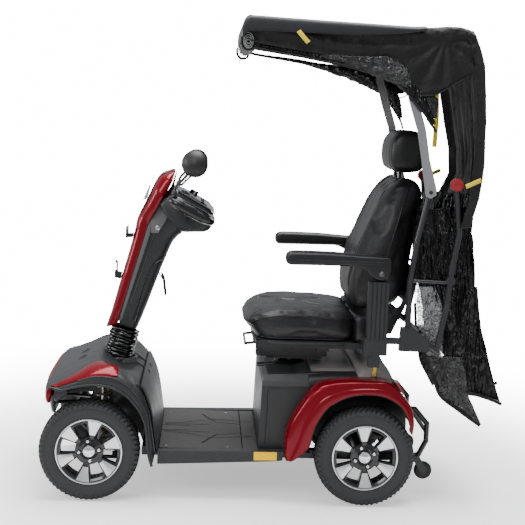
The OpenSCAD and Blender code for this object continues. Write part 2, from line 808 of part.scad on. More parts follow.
// steel recliner arms and back plate
module backrest_frame() {
    color("#232325") difference() {
        union() {
            both(198, 210) polygon([[rec_px - 16, rec_pz], [rec_px - 10, rec_pz + 14],
                [372, 612], [400, 640], [424, 660], [446, 728], [452, 790], [459, 790],
                [458, 726], [436, 650], [417, 612], [396, 562], [362, rec_pz - 16],
                [rec_px, rec_pz - 18], [rec_px - 12, rec_pz - 12]]);
            side(-198, 198) polygon([[446.8, 728], [452.8, 790], [458, 790], [456, 726],
                [440, 670], [432, 672]]);
        }
        ycyl(rec_px, -230, 230, rec_pz, 6 + fit);
        side(-231, 231) polygon(back_out);
    }
}

// head restraint with its two rods
module headrest() {
    color("#29292b") intersection() {
        side(-135, 135) polygon([[364, 1108], [356, 1140], [357, 1180], [366, 1212],
            [388, 1236], [428, 1244], [466, 1238], [488, 1212], [496, 1168], [492, 1124],
            [478, 1100], [430, 1092], [388, 1096]]);
        translate([300, 0, 0]) rotate([90, 0, 90]) linear_extrude(300) polygon([[-100, 1090],
            [-126, 1106], [-135, 1140], [-135, 1200], [-122, 1230], [-96, 1245], [96, 1245],
            [122, 1230], [135, 1200], [135, 1140], [126, 1106], [100, 1090]]);
    }
    color("#c2c3c5") for (s = [-1, 1]) translate([422, 50 * s, 950])
        cylinder(h = 150, r = 6);
}

module armrest(s) {
    mirror([0, s > 0 ? 0 : 1, 0]) color("#232325") difference() {
        union() {
            side(arm_y - arm_w / 2, arm_y + arm_w / 2) polygon([[34, 798], [24, 806],
                [22, 832], [30, 845], [180, 842], [352, 834], [364, 826], [362, 806],
                [352, 797]]);
            side(arm_y + 4, arm_y + 22) polygon([[300, 800], [318, 784], [320, 770],
                [328, 762], [344, 762], [352, 770], [356, 800]]);
        }
        ycyl(arm_px, arm_y - 10, arm_y + 40, arm_pz, 6 + fit);
    }
}

// folding armrest, left
module armrest_left() {
    armrest(-1);
}

// folding armrest, right
module armrest_right() {
    armrest(1);
}

// ribbed armrest columns with clamp brackets
module armrest_posts() {
    color("#232325") for (s = [-1, 1]) mirror([0, s > 0 ? 0 : 1, 0]) {
        difference() {
            box(296, 361, 302, 340, 566, 752);
            for (x = [308, 322, 336, 350]) box(x - 2, x + 2, 337, 341, 560, 760);
        }
        box(288, 364, 298, 338, 512, 566);
        box(306, 342, 304, 332, 471, 512);
        difference() {
            side(302, arm_y + 3.5) polygon([[318, 752], [318, 780], [328, 792], [344, 792],
                [354, 780], [354, 752]]);
            ycyl(arm_px, 300, 309, arm_pz, 5);
        }
        ycyl(arm_px, 302, 330, arm_pz, 6);
        ycyl(325, 219, 300, 528, 10);
    }
}

// canopy side tubes, clamp blocks and cross tubes
module canopy_lower_frame() {
    color("#3a3a3d") for (s = [-1, 1]) mirror([0, s > 0 ? 0 : 1, 0]) {
        box(364, 412, can_y - 6, can_y + 14, 546, 566);
        side(can_y - 16, can_y + 18) polygon([[408, 524], [412, 601], [452, 601], [506, 560],
            [506, 524]]);
        bar([480, can_y, 560], [532, can_y, 524], can_d + 4);
        bar([532, can_y, 524], [560, can_y, 677], can_d);
        bar([560, can_y, 677], [566, can_y, 770], can_d);
        bar([566, can_y, 770], [587, can_y, 912], can_d);
        bar([587, can_y, 912], [570, can_y, 1058], can_d);
        for (p = [[532, 524], [560, 677], [566, 770], [587, 912]])
            translate([p[0], can_y, p[1]]) sphere(d = can_d + 1);
        bar([434, can_y, 600], [434, can_y, 750], can_d);
        bar([434, can_y, 750], [450, can_y, 880], can_d);
        bar([450, can_y, 880], [482, can_y - 10, 1026], can_d);
        for (p = [[434, 750], [450, 880]])
            translate([p[0], can_y, p[1]]) sphere(d = can_d + 1);
        translate([482, can_y - 10, 1026]) sphere(d = can_d + 1);
        ycyl(can_px, can_y - 8, can_y + 3, can_pz, 17);
        ycyl(can_px, can_y + 2, can_y + 14, can_pz, 6);
        bar([436, can_y, 756], [580, can_y, 752], 11);
        ycyl(565, can_y - 15, can_y + 15, 760, 15);
    }
    color("#3a3a3d") bar([532, -can_y, 524], [532, can_y, 524], can_d);
    color("#3a3a3d") bar([587, -can_y, 912], [587, can_y, 912], 16);
    color("#a01018") for (s = [-1, 1]) ycyl(570, s > 0 ? 288 : -312, s > 0 ? 312 : -288,
        1072, 20);
}

// flat swinging arms and roof frame
module canopy_arms() {
    color("#b9babd") for (s = [-1, 1]) mirror([0, s > 0 ? 0 : 1, 0]) difference() {
        side(can_y + 3.5, can_y + 8.5) polygon([[can_px - 17, can_pz - 12],
            [can_px, can_pz - 20], [can_px + 18, can_pz - 8], [can_px + 18, can_pz + 12],
            [476, 1150], [458, 1247], [427, 1343], [400, 1430], [376, 1532], [354, 1532],
            [374, 1424], [399, 1333], [430, 1243], [448, 1150]]);
        ycyl(can_px, can_y, can_y + 20, can_pz, 6 + fit);
    }
    color("#8a8b8e") {
        for (s = [-1, 1]) bar([-112, 312 * s, 1528], [588, 312 * s, 1528], 16);
        for (x = [-112, 365, 588]) bar([x, -312, 1528], [x, 312, 1528], 16);
        for (x = [-112, 588], s = [-1, 1]) translate([x, 312 * s, 1528]) sphere(d = 16);
    }
}

// fabric roof with side valances
module canopy_roof() {
    color("#1f1f21") {
        side(-roof_half, roof_half) polygon(roof_top);
        both(roof_half - 12, roof_half) polygon(roof_side);
        side(-roof_half + 10, roof_half - 10) polygon([[-141, 1541.2], [-128, 1541.2],
            [-124, 1500], [-132, 1496], [-140, 1505]]);
    }
}

// hanging rear curtain with its side wings
module canopy_curtain() {
    color("#232326") {
        side(-334, 334) polygon(curtain_back);
        both(322, 333.5) difference() {
            polygon(curtain_side);
            translate([-200, 1440]) square([900, 200]);
        }
    }
}

chassis_frame();
floor_deck();
side_rails();
side_reflectors();
front_shroud();
front_side_panels();
front_bumper();
battery_cover();
rear_fenders();
rear_top_cover();
rear_bumper_bar();
tail_lamps();
batteries();
transaxle();
front_axle();
freewheel_lever();
knuckle_left();
knuckle_right();
tie_rod();
steering_column();
tyre_fl();
tyre_fr();
tyre_rl();
tyre_rr();
alloy_wheel_fl();
alloy_wheel_fr();
alloy_wheel_rl();
alloy_wheel_rr();
anti_tip_wheel_left();
anti_tip_wheel_right();
tiller_post();
tiller_front_cover();
tiller_rear_cover();
tiller_bellows();
console();
headlamp();
handlebar();
throttle_lever();
brake_lever();
mirror_left();
mirror_right();
speed_dial();
key();
tilt_lever();
basket_bracket();
seat_post();
swivel_lever();
seat_base();
slide_lever();
seat_cushion();
backrest_cushion();
backrest_frame();
headrest();
armrest_left();
armrest_right();
armrest_posts();
canopy_lower_frame();
canopy_arms();
canopy_roof();
canopy_curtain();
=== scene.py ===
import itertools
import math

import bmesh
import bpy
import numpy as np
from mathutils import Matrix, Vector, noise


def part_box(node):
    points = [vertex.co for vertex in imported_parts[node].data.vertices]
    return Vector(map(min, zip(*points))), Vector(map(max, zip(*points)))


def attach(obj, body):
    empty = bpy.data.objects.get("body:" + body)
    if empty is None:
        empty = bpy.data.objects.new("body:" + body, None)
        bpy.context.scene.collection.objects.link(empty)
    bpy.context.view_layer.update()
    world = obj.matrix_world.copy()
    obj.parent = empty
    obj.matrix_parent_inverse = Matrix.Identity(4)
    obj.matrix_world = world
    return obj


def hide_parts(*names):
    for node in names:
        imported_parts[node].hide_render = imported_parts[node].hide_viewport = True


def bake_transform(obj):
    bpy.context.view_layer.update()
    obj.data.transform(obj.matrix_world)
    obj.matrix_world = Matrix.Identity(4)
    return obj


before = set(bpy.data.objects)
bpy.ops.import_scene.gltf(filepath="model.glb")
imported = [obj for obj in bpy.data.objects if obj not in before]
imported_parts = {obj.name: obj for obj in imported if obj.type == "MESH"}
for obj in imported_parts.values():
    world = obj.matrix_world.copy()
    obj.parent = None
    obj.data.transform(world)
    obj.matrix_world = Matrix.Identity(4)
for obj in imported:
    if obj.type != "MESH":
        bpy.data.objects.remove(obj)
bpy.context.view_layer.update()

SIDES = (("left", -1), ("right", 1))
TYRE_R = 0.165
ROOF_Y = 0.334
COWL_Y = 0.330
STEM_X = -0.5175
TILT_PIVOT = Vector((-0.521, 0.0, 0.452))
LEAN = math.radians(15)
UP = Vector((0, 0, 1))


# ---------------------------------------------------------------- helpers
def smooth_line(points, count):
    """Catmull-Rom curve through the points, resampled evenly to count points."""
    p = np.array(points, float)
    p = np.vstack([2 * p[0] - p[1], p, 2 * p[-1] - p[-2]])
    out = []
    for a, b, c, d in zip(p, p[1:], p[2:], p[3:]):
        for t in np.linspace(0, 1, 16, endpoint=False):
            out.append(0.5 * ((2 * b) + (c - a) * t + (2 * a - 5 * b + 4 * c - d) * t ** 2
                              + (3 * b - a - 3 * c + d) * t ** 3))
    out.append(p[-2])
    return resample(out, count)


def resample(points, count):
    """Straight-line resampling of a polyline to count evenly spaced points."""
    p = np.array(points, float)
    s = np.concatenate([[0], np.cumsum(np.linalg.norm(np.diff(p, axis=0), axis=1))])
    q = np.linspace(0, s[-1], count)
    return np.stack([np.interp(q, s, p[:, k]) for k in range(p.shape[1])], axis=1)


def ramp(value, stops):
    """Value of a piecewise linear function given as (input, output) stops."""
    return float(np.interp(value, [s[0] for s in stops], [s[1] for s in stops]))


def turns(count):
    """Angles of one full turn."""
    return np.linspace(0, 2 * math.pi, count, endpoint=False)


def boxy(value, power):
    """A sine or cosine raised to a power with its sign kept, for rounded-box sections."""
    return math.copysign(abs(value) ** power, value)


def node_centre(name):
    """Middle of a CAD node's box."""
    low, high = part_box(name)
    return [(low[k] + high[k]) / 2 for k in range(3)]


def new_mesh(name, verts, faces, smooth=True):
    """Linked object made from vertices and faces."""
    mesh = bpy.data.meshes.new(name)
    mesh.from_pydata([tuple(map(float, v)) for v in verts], [], faces)
    mesh.validate()
    mesh.update()
    if smooth:
        mesh.shade_smooth()
    obj = bpy.data.objects.new(name, mesh)
    bpy.context.scene.collection.objects.link(obj)
    return obj


def grid(name, p, wrap_u=False, wrap_v=False, caps=False):
    """Mesh from a grid of points p[u][v]."""
    p = np.array(p, float)
    nu, nv = p.shape[:2]
    faces = []
    for i in range(nu if wrap_u else nu - 1):
        for j in range(nv if wrap_v else nv - 1):
            a, b = i * nv, (i + 1) % nu * nv
            c, d = j, (j + 1) % nv
            faces.append((a + c, b + c, b + d, a + d))
    if caps:
        faces.append(tuple(range(nv))[::-1])
        faces.append(tuple((nu - 1) * nv + j for j in range(nv)))
    return new_mesh(name, p.reshape(-1, 3), faces)


def prism(name, outline, y0, y1):
    """Outline in the side plane (x, z), extruded from y0 to y1."""
    n = len(outline)
    verts = [(x, y, z) for y in (y0, y1) for x, z in outline]
    faces = [tuple(range(n)), tuple(range(2 * n - 1, n - 1, -1))]
    faces += [(i, n + i, n + (i + 1) % n, (i + 1) % n) for i in range(n)]
    obj = new_mesh(name, verts, faces)
    fix_normals(obj)
    return obj


def fix_normals(obj):
    """Makes the face normals agree, outwards on closed shapes."""
    bm = bmesh.new()
    bm.from_mesh(obj.data)
    bmesh.ops.recalc_face_normals(bm, faces=bm.faces)
    bm.to_mesh(obj.data)
    bm.free()


def tube(name, points, radius, sides=12, closed=False):
    """Round tube along points, as a mesh; radius is one number or one for each point."""
    p = np.array(points, float)
    tangent = np.roll(p, -1, 0) - np.roll(p, 1, 0)
    if not closed:
        tangent[0] = p[1] - p[0]
        tangent[-1] = p[-1] - p[-2]
    tangent /= np.linalg.norm(tangent, axis=1)[:, None]
    ref = np.array((0.0, 1.0, 0.0))
    if abs(tangent[0] @ ref) > 0.9:
        ref = np.array((0.0, 0.0, 1.0))
    rings = []
    for place, ahead, r in zip(p, tangent, np.broadcast_to(radius, len(p))):
        ref = ref - (ref @ ahead) * ahead
        ref /= np.linalg.norm(ref)
        across = np.cross(ahead, ref)
        rings.append([place + r * (math.cos(a) * ref + math.sin(a) * across)
                      for a in turns(sides)])
    return grid(name, rings, wrap_u=closed, wrap_v=True, caps=not closed)


def lathe(name, profile, centre, steps=96, flip=1):
    """Profile of (radius, offset) turned about the Y axis through centre."""
    cx, cy, cz = centre
    rings = [[(cx + r * math.cos(a), cy + flip * o, cz + r * math.sin(a)) for r, o in profile]
             for a in turns(steps)]
    obj = grid(name, rings, wrap_u=True)
    fix_normals(obj)
    return obj


def lathe_z(name, profile, centre, steps=64):
    """Closed profile of (radius, height) turned about the Z axis through centre."""
    cx, cy, cz = centre
    rings = [[(cx + r * math.cos(a), cy + r * math.sin(a), cz + o) for r, o in profile]
             for a in turns(steps)]
    obj = grid(name, rings, wrap_u=True, wrap_v=True)
    fix_normals(obj)
    return obj


def modifier(obj, kind, **values):
    """Adds a modifier with its settings by name."""
    m = obj.modifiers.new(kind.lower(), kind)
    for key, value in values.items():
        setattr(m, key, value)


def bevel(obj, width, segments=3, angle=35):
    """Rounds edges sharper than angle, in degrees."""
    modifier(obj, "BEVEL", width=width, segments=segments, limit_method="ANGLE",
             angle_limit=math.radians(angle), harden_normals=False)


def subdivide(obj, levels=1):
    """Smooths a piece by subdivision."""
    modifier(obj, "SUBSURF", levels=levels, render_levels=levels)


def thicken(obj, amount, offset=-1.0):
    """Gives a surface its thickness; offset says on which side it lies."""
    modifier(obj, "SOLIDIFY", thickness=amount, offset=offset)


def apply_modifiers(obj):
    """Replaces a piece's mesh by the one that its modifiers make."""
    bpy.context.view_layer.update()
    deps = bpy.context.evaluated_depsgraph_get()
    mesh = bpy.data.meshes.new_from_object(obj.evaluated_get(deps))
    obj.modifiers.clear()
    obj.data = mesh


def join(name, parts):
    """Joins plain meshes, keeping each one's material."""
    verts, faces, mats, index = [], [], [], []
    for part in parts:
        if part.modifiers:
            apply_modifiers(part)
        base = len(verts)
        verts += [part.matrix_world @ v.co for v in part.data.vertices]
        slots = []
        for m in part.data.materials:
            if m not in mats:
                mats.append(m)
            slots.append(mats.index(m))
        for poly in part.data.polygons:
            faces.append(tuple(base + i for i in poly.vertices))
            index.append(slots[poly.material_index] if slots else 0)
    obj = new_mesh(name, verts, faces)
    for m in mats:
        obj.data.materials.append(m)
    for poly, i in zip(obj.data.polygons, index):
        poly.material_index = i
    for part in parts:
        bpy.data.objects.remove(part)
    return obj


def sharp_by_angle(obj, degrees):
    """Smooth shading with edges sharper than degrees kept crisp."""
    obj.data.shade_smooth()
    obj.data.set_sharp_from_angle(angle=math.radians(degrees))


def coloured(obj, mat):
    """Gives a piece its one material."""
    obj.data.materials.clear()
    obj.data.materials.append(M[mat])
    return obj


def done(obj, body, mat=None, nodes=()):
    """Gives a finished piece its material and body, and hides the CAD nodes that it stands for."""
    if mat:
        coloured(obj, mat)
    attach(obj, body)
    if nodes:
        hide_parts(*nodes)


def cord(name, points, radius, body, mat, sides=8):
    """Seam, hem, groove, bead or rod: a tube that is a piece of its own."""
    done(tube(name, points, radius, sides), body, mat)


def ray_points(obj, rays, lift):
    """Where rays of (start, direction) first meet obj, moved back along each by lift."""
    bpy.context.view_layer.update()
    points = []
    for start, direction in rays:
        ahead = Vector(direction).normalized()
        hit, where, _, _ = obj.ray_cast(Vector(start), ahead)
        if hit:
            points.append(where - ahead * lift)
    return points


def hash_noise(p, scale, seed=0.0):
    """Smooth noise at a point, repeatable for a given scale and seed."""
    return noise.noise(Vector((p[0] * scale + seed, p[1] * scale - seed, p[2] * scale + 2 * seed)))


# ---------------------------------------------------------------- materials
def add_node(tree, kind, values=None, feeds=None, **settings):
    """Adds a shader node; values are constants and feeds are links, both by socket name."""
    node = tree.nodes.new("ShaderNode" + kind)
    for key, value in settings.items():
        setattr(node, key, value)
    for key, value in (values or {}).items():
        node.inputs[key].default_value = value
    for key, source in (feeds or {}).items():
        tree.links.new(source, node.inputs[key])
    return node


def material(name, colour, rough=0.5, metal=0.0, coat=0.0, coat_rough=0.03, grain=0.0,
             grain_size=900.0, grain_kind="NOISE", tone=0.15, tone_size=14.0, rough_spread=0.12,
             bump_depth=0.0004, specular=0.5, sheen=0.0, wave=None, dust=0.0, alpha=None,
             painted_glint=None, stretch=None):
    """Principled material with colour variation, roughness variation and surface grain.

    wave is (size, strength, depth, detail) of larger crumples, stretch their scale by axis,
    painted_glint (size, threshold) of bright specks painted into the base colour as glints
    (painted highlights), and alpha the range of a see-through pattern."""
    mat = bpy.data.materials.new(name)
    mat.use_nodes = True
    tree = mat.node_tree
    bsdf = tree.nodes["Principled BSDF"]
    for key, value in (("Metallic", metal), ("Coat Weight", coat), ("Coat Roughness", coat_rough),
                       ("Specular IOR Level", specular), ("Sheen Weight", sheen)):
        bsdf.inputs[key].default_value = value
    where = {"Vector": add_node(tree, "TexCoord").outputs["Object"]}
    broad = add_node(tree, "TexNoise", {"Scale": tone_size, "Detail": 6.0}, where)
    dark = [c * (1 - tone) for c in colour]
    light = [min(1.0, c * (1 + tone) + dust) for c in colour]
    shade = add_node(tree, "Mix", {"A": (*dark, 1), "B": (*light, 1)},
                     {"Factor": broad.outputs["Fac"]}, data_type="RGBA")
    # painted highlights: white specks mixed into the base colour stand in for glints
    if painted_glint:
        glint_noise = add_node(tree, "TexNoise", {"Scale": painted_glint[0], "Detail": 9.0,
                                             "Roughness": 0.65, "Distortion": 1.2}, where)
        edge = add_node(tree, "MapRange", {"From Min": painted_glint[1], "From Max": painted_glint[1] + 0.02},
                        {"Value": glint_noise.outputs["Fac"]})
        shade = add_node(tree, "Mix", {"B": (0.75, 0.75, 0.74, 1)},
                         {"Factor": edge.outputs["Result"], "A": shade.outputs["Result"]},
                         data_type="RGBA")
    tree.links.new(shade.outputs["Result"], bsdf.inputs["Base Color"])
    spread = add_node(tree, "MapRange", {"To Min": max(0.02, rough - rough_spread),
                                         "To Max": min(1.0, rough + rough_spread)},
                      {"Value": broad.outputs["Fac"]})
    tree.links.new(spread.outputs["Result"], bsdf.inputs["Roughness"])
    if grain > 0 or wave:
        cells = grain_kind == "VORONOI"
        fine = add_node(tree, "TexVoronoi" if cells else "TexNoise", {"Scale": grain_size}, where)
        bump = add_node(tree, "Bump", {"Strength": max(grain, 0.01), "Distance": bump_depth},
                        {"Height": fine.outputs["Distance" if cells else "Fac"]})
        if wave:
            size, strength, depth, detail = wave
            place = where
            if stretch:
                pull = add_node(tree, "Mapping", {"Scale": stretch}, where)
                place = {"Vector": pull.outputs["Vector"]}
            crumple = add_node(tree, "TexNoise", {"Scale": size, "Detail": detail,
                                                  "Distortion": 1.6}, place)
            folds = add_node(tree, "Bump", {"Strength": strength, "Distance": depth},
                             {"Height": crumple.outputs["Fac"]})
            tree.links.new(folds.outputs["Normal"], bump.inputs["Normal"])
        tree.links.new(bump.outputs["Normal"], bsdf.inputs["Normal"])
    if alpha:
        streaks = add_node(tree, "TexNoise", {"Scale": 55.0, "Detail": 7.0, "Distortion": 2.5},
                           where)
        clear = add_node(tree, "MapRange", {"From Min": 0.35, "From Max": 0.65,
                                            "To Min": alpha[0], "To Max": alpha[1]},
                         {"Value": streaks.outputs["Fac"]})
        tree.links.new(clear.outputs["Result"], bsdf.inputs["Alpha"])
    return mat


M = {
    "frame": material("frame_paint", (0.012, 0.012, 0.013), 0.40, coat=0.2, grain=0.15,
                      grain_size=700, specular=0.35),
    "plastic": material("charcoal_plastic", (0.020, 0.021, 0.022), 0.44, grain=0.35,
                        grain_size=1500, bump_depth=0.0003, specular=0.35),
    "band_grey": material("grey_trim_plastic", (0.105, 0.112, 0.108), 0.45, grain=0.3,
                          grain_size=1500, specular=0.35),
    "deck": material("deck_plastic", (0.040, 0.039, 0.038), 0.58, grain=0.6, grain_size=420,
                     grain_kind="VORONOI", bump_depth=0.0006, specular=0.3),
    "paint": material("metallic_red_paint", (0.160, 0.0, 0.0060), 0.27, metal=0.35, coat=0.28,
                      coat_rough=0.04, grain=0.05, grain_size=3800, tone=0.12,
                      tone_size=2600, rough_spread=0.05, specular=0.12),
    "grey": material("warm_grey_plastic", (0.205, 0.192, 0.184), 0.42, grain=0.25,
                     grain_size=1500, tone=0.08, specular=0.4),
    "amber": material("amber_lens", (0.98, 0.58, 0.0), 0.45, specular=0.15, grain=0.4,
                      grain_size=520, grain_kind="VORONOI", bump_depth=0.001, tone=0.05),
    "red_lens": material("red_lens", (0.35, 0.006, 0.010), 0.15, coat=1.0, grain=0.7,
                         grain_size=420, grain_kind="VORONOI", bump_depth=0.001, tone=0.05),
    "clear_lens": material("clear_lens", (0.42, 0.45, 0.48), 0.10, metal=0.3, coat=1.0,
                           grain=0.6, grain_size=300, grain_kind="VORONOI",
                           bump_depth=0.001),
    "screen": material("display_glass", (0.030, 0.040, 0.036), 0.12, coat=0.8, grain=0.02),
    "brass": material("spring_coating", (0.20, 0.13, 0.02), 0.4, coat=0.2, grain=0.3),
    "metal": material("cast_drive_metal", (0.10, 0.10, 0.105), 0.45, metal=0.8, grain=0.4,
                      grain_size=500),
    "battery": material("battery_case", (0.014, 0.014, 0.015), 0.5, grain=0.2),
    "yellow": material("yellow_plastic", (0.80, 0.55, 0.02), 0.4, grain=0.2, grain_size=800,
                       tone=0.06),
    "tyre": material("tyre_rubber", (0.024, 0.0245, 0.0255), 0.66, grain=0.5, grain_size=900,
                     dust=0.004, bump_depth=0.0005, specular=0.35),
    "alloy": material("machined_alloy", (0.72, 0.72, 0.74), 0.25, metal=1.0, grain=0.12,
                      grain_size=1800, tone=0.08, rough_spread=0.06),
    "rim_black": material("rim_black_paint", (0.004, 0.004, 0.0045), 0.2, coat=0.5,
                          grain=0.05, tone=0.1, specular=0.35),
    # painted shade: inner barrel metal darkened so the wheel windows look shaded
    "barrel_painted_shade": material("rim_inner_metal_painted_shade", (0.09, 0.09, 0.10), 0.36, metal=0.8, grain=0.2),
    "rubber": material("black_rubber", (0.009, 0.009, 0.0095), 0.5, grain=0.35,
                       grain_size=1100, specular=0.4),
    "gloss": material("gloss_black", (0.004, 0.004, 0.0045), 0.16, coat=0.5, grain=0.04,
                      tone=0.1, rough_spread=0.04, specular=0.4),
    "grip": material("grip_rubber", (0.004, 0.004, 0.0045), 0.30, coat=0.25, grain=0.1,
                     rough_spread=0.04, specular=0.35),
    "chrome": material("chrome_plate", (0.80, 0.81, 0.83), 0.08, metal=1.0, grain=0.03,
                       tone=0.03, rough_spread=0.03),
    "steel": material("zinc_steel", (0.45, 0.45, 0.47), 0.32, metal=1.0, grain=0.3,
                      grain_size=900),
    "vinyl": material("seat_vinyl", (0.0095, 0.0095, 0.0105), 0.36, grain=0.5, grain_size=650,
                      grain_kind="VORONOI", bump_depth=0.0005, tone=0.2, tone_size=5,
                      specular=0.36, wave=(13, 0.35, 0.005, 8.0)),
    "piping": material("seat_piping", (0.006, 0.006, 0.0065), 0.3, grain=0.3, grain_size=900,
                       specular=0.4),
    "armpad": material("armrest_foam", (0.0075, 0.0075, 0.0085), 0.42, grain=0.45,
                       grain_size=900, grain_kind="VORONOI", specular=0.4),
    "tube": material("canopy_tube_paint", (0.026, 0.026, 0.029), 0.3, metal=0.4, coat=0.3,
                     grain=0.1),
    "arm": material("canopy_arm_metal", (0.42, 0.42, 0.44), 0.27, metal=0.95, grain=0.2,
                    grain_size=1400, tone=0.15, tone_size=4),
    "cloth": material("canopy_nylon", (0.0045, 0.0045, 0.005), 0.55, grain=0.5,
                      grain_size=2600, bump_depth=0.0004, sheen=0.08, wave=(9, 0.8, 0.016, 8.0),
                      tone=0.25, specular=0.3),
    "band": material("roof_band_nylon", (0.017, 0.0175, 0.020), 0.55, grain=0.6,
                     grain_size=2600, sheen=0.08, tone=0.12, specular=0.3),
    # painted highlights: the two dark films below carry white specks in their base colour as glints
    "film_dark": material("dark_film", (0.0015, 0.0015, 0.0018), 0.13, coat=0.1, grain=0.05,
                          tone=0.3, wave=(17, 1.0, 0.040, 2.0), rough_spread=0.05,
                          painted_glint=(60, 0.72), stretch=(1.8, 1.8, 0.22), specular=0.32),
    "film_sparkle": material("crinkled_clear_film", (0.003, 0.003, 0.0035), 0.12, coat=0.35,
                             grain=0.1, wave=(38, 1.0, 0.02, 4.0), tone=0.35,
                             rough_spread=0.05, painted_glint=(70, 0.66)),
    "film_clear": material("clear_film", (0.30, 0.305, 0.31), 0.12, coat=0.4, grain=0.1,
                           wave=(42, 1.0, 0.02, 8.0), alpha=(0.10, 0.85), tone=0.6,
                           tone_size=40, rough_spread=0.05),
    "film_pale": material("rolled_film_edge", (0.22, 0.22, 0.22), 0.25, coat=0.4, grain=0.3,
                          tone=0.5, tone_size=60),
    "hem": material("hem_tape", (0.004, 0.004, 0.0045), 0.5, grain=0.6, grain_size=1800,
                    specular=0.3),
    "webbing": material("yellow_webbing", (0.78, 0.60, 0.02), 0.6, grain=0.9, grain_size=900,
                        bump_depth=0.0008, sheen=0.1, tone=0.1),
    "knob": material("red_knob", (0.26, 0.008, 0.012), 0.35, grain=0.3, coat=0.3),
    "glass": material("mirror_glass", (0.80, 0.83, 0.85), 0.03, metal=1.0, grain=0.01,
                      tone=0.02, rough_spread=0.01),
}


def paint_cad(names, mat, bevel_width=0.0, segments=2, angle=35):
    """Gives CAD nodes that are shown as they are a material and softer edges."""
    for name in names.split():
        obj = coloured(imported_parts[name], mat)
        if bevel_width:
            bevel(obj, bevel_width, segments, angle)


# ---------------------------------------------------------------- camera, floor and light
BACKDROP_GLOW = 16.0


def camera():
    """The photo's camera: heading, pitch, roll, place and focal length."""
    yaw, pitch, roll = (math.radians(a) for a in (2.88217, 7.18615, 2.14639))
    right = Vector((math.cos(yaw), -math.sin(yaw), 0))
    ahead = Vector((math.sin(yaw) * math.cos(pitch), math.cos(yaw) * math.cos(pitch),
                    -math.sin(pitch)))
    up = right.cross(ahead)
    x_axis = math.cos(roll) * right + math.sin(roll) * up
    y_axis = -math.sin(roll) * right + math.cos(roll) * up
    data = bpy.data.cameras.new("camera")
    data.sensor_width = 36
    data.lens = 80.436
    cam = bpy.data.objects.new("camera", data)
    bpy.context.scene.collection.objects.link(cam)
    basis = Matrix((x_axis, y_axis, -ahead)).transposed().to_4x4()
    cam.matrix_world = Matrix.Translation((-0.238487, -4.056822, 1.274702)) @ basis
    bpy.context.scene.camera = cam


def floor():
    """Pale floor that blends into the bright backdrop a little way from the scooter."""
    plane = new_mesh("floor", [(-30, -30, 0), (30, -30, 0), (30, 30, 0), (-30, 30, 0)],
                     [(0, 1, 2, 3)])
    mat = material("floor_paper", (0.88, 0.88, 0.88), 0.8, tone=0.01, grain=0.02, specular=0.1)
    plane.data.materials.append(mat)
    tree = mat.node_tree
    reach = add_node(tree, "VectorMath", operation="LENGTH")
    tree.links.new(add_node(tree, "TexCoord").outputs["Object"], reach.inputs[0])
    share = add_node(tree, "MapRange", {"From Min": 0.9, "From Max": 2.6, "To Min": 0.038},
                     {"Value": reach.outputs["Value"]}, interpolation_type="SMOOTHSTEP")
    seen = add_node(tree, "LightPath").outputs["Is Camera Ray"]
    power = add_node(tree, "MapRange", {"To Min": 0.6, "To Max": BACKDROP_GLOW}, {"Value": seen})
    glow = add_node(tree, "Emission", {"Color": (1, 1, 1, 1)},
                    {"Strength": power.outputs["Result"]})
    blend_shaders(tree, share.outputs["Result"], tree.nodes["Principled BSDF"].outputs["BSDF"],
                  glow.outputs["Emission"], tree.nodes["Material Output"])


def blend_shaders(tree, share, first, second, output):
    """Mixes two shaders by share and sends the mix to the output."""
    blend = add_node(tree, "MixShader")
    for source, socket in zip((share, first, second), blend.inputs):
        tree.links.new(source, socket)
    tree.links.new(blend.outputs["Shader"], output.inputs["Surface"])


def lighting():
    """White backdrop for the camera, soft fill for everything else, and four area lights."""
    world = bpy.data.worlds.new("studio")
    world.use_nodes = True
    tree = world.node_tree
    fill = tree.nodes["Background"]
    fill.inputs["Color"].default_value = (0.93, 0.95, 1, 1)
    fill.inputs["Strength"].default_value = 0.55
    backdrop = add_node(tree, "Background", {"Color": (1, 1, 1, 1), "Strength": BACKDROP_GLOW})
    blend_shaders(tree, add_node(tree, "LightPath").outputs["Is Camera Ray"],
                  fill.outputs["Background"], backdrop.outputs["Background"],
                  tree.nodes["World Output"])
    bpy.context.scene.world = world
    lights = (("top", (0.2, 0.3, 4.0), 430, 3.4), ("key", (-2.2, -3.0, 2.9), 70, 1.6),
              ("left_strip", (-3.4, 0.2, 1.6), 45, 1.2), ("back", (2.8, 2.4, 2.4), 70, 1.4))
    for name, place, power, size in lights:
        lamp = bpy.data.lights.new(name, "AREA")
        lamp.energy = power
        lamp.size = size
        obj = bpy.data.objects.new(name, lamp)
        bpy.context.scene.collection.objects.link(obj)
        obj.location = place
        aim = Vector((0, 0, 0.7)) - Vector(place)
        obj.rotation_euler = aim.to_track_quat("-Z", "Y").to_euler()


# ---------------------------------------------------------------- wheels
TREAD_COUNT = 58


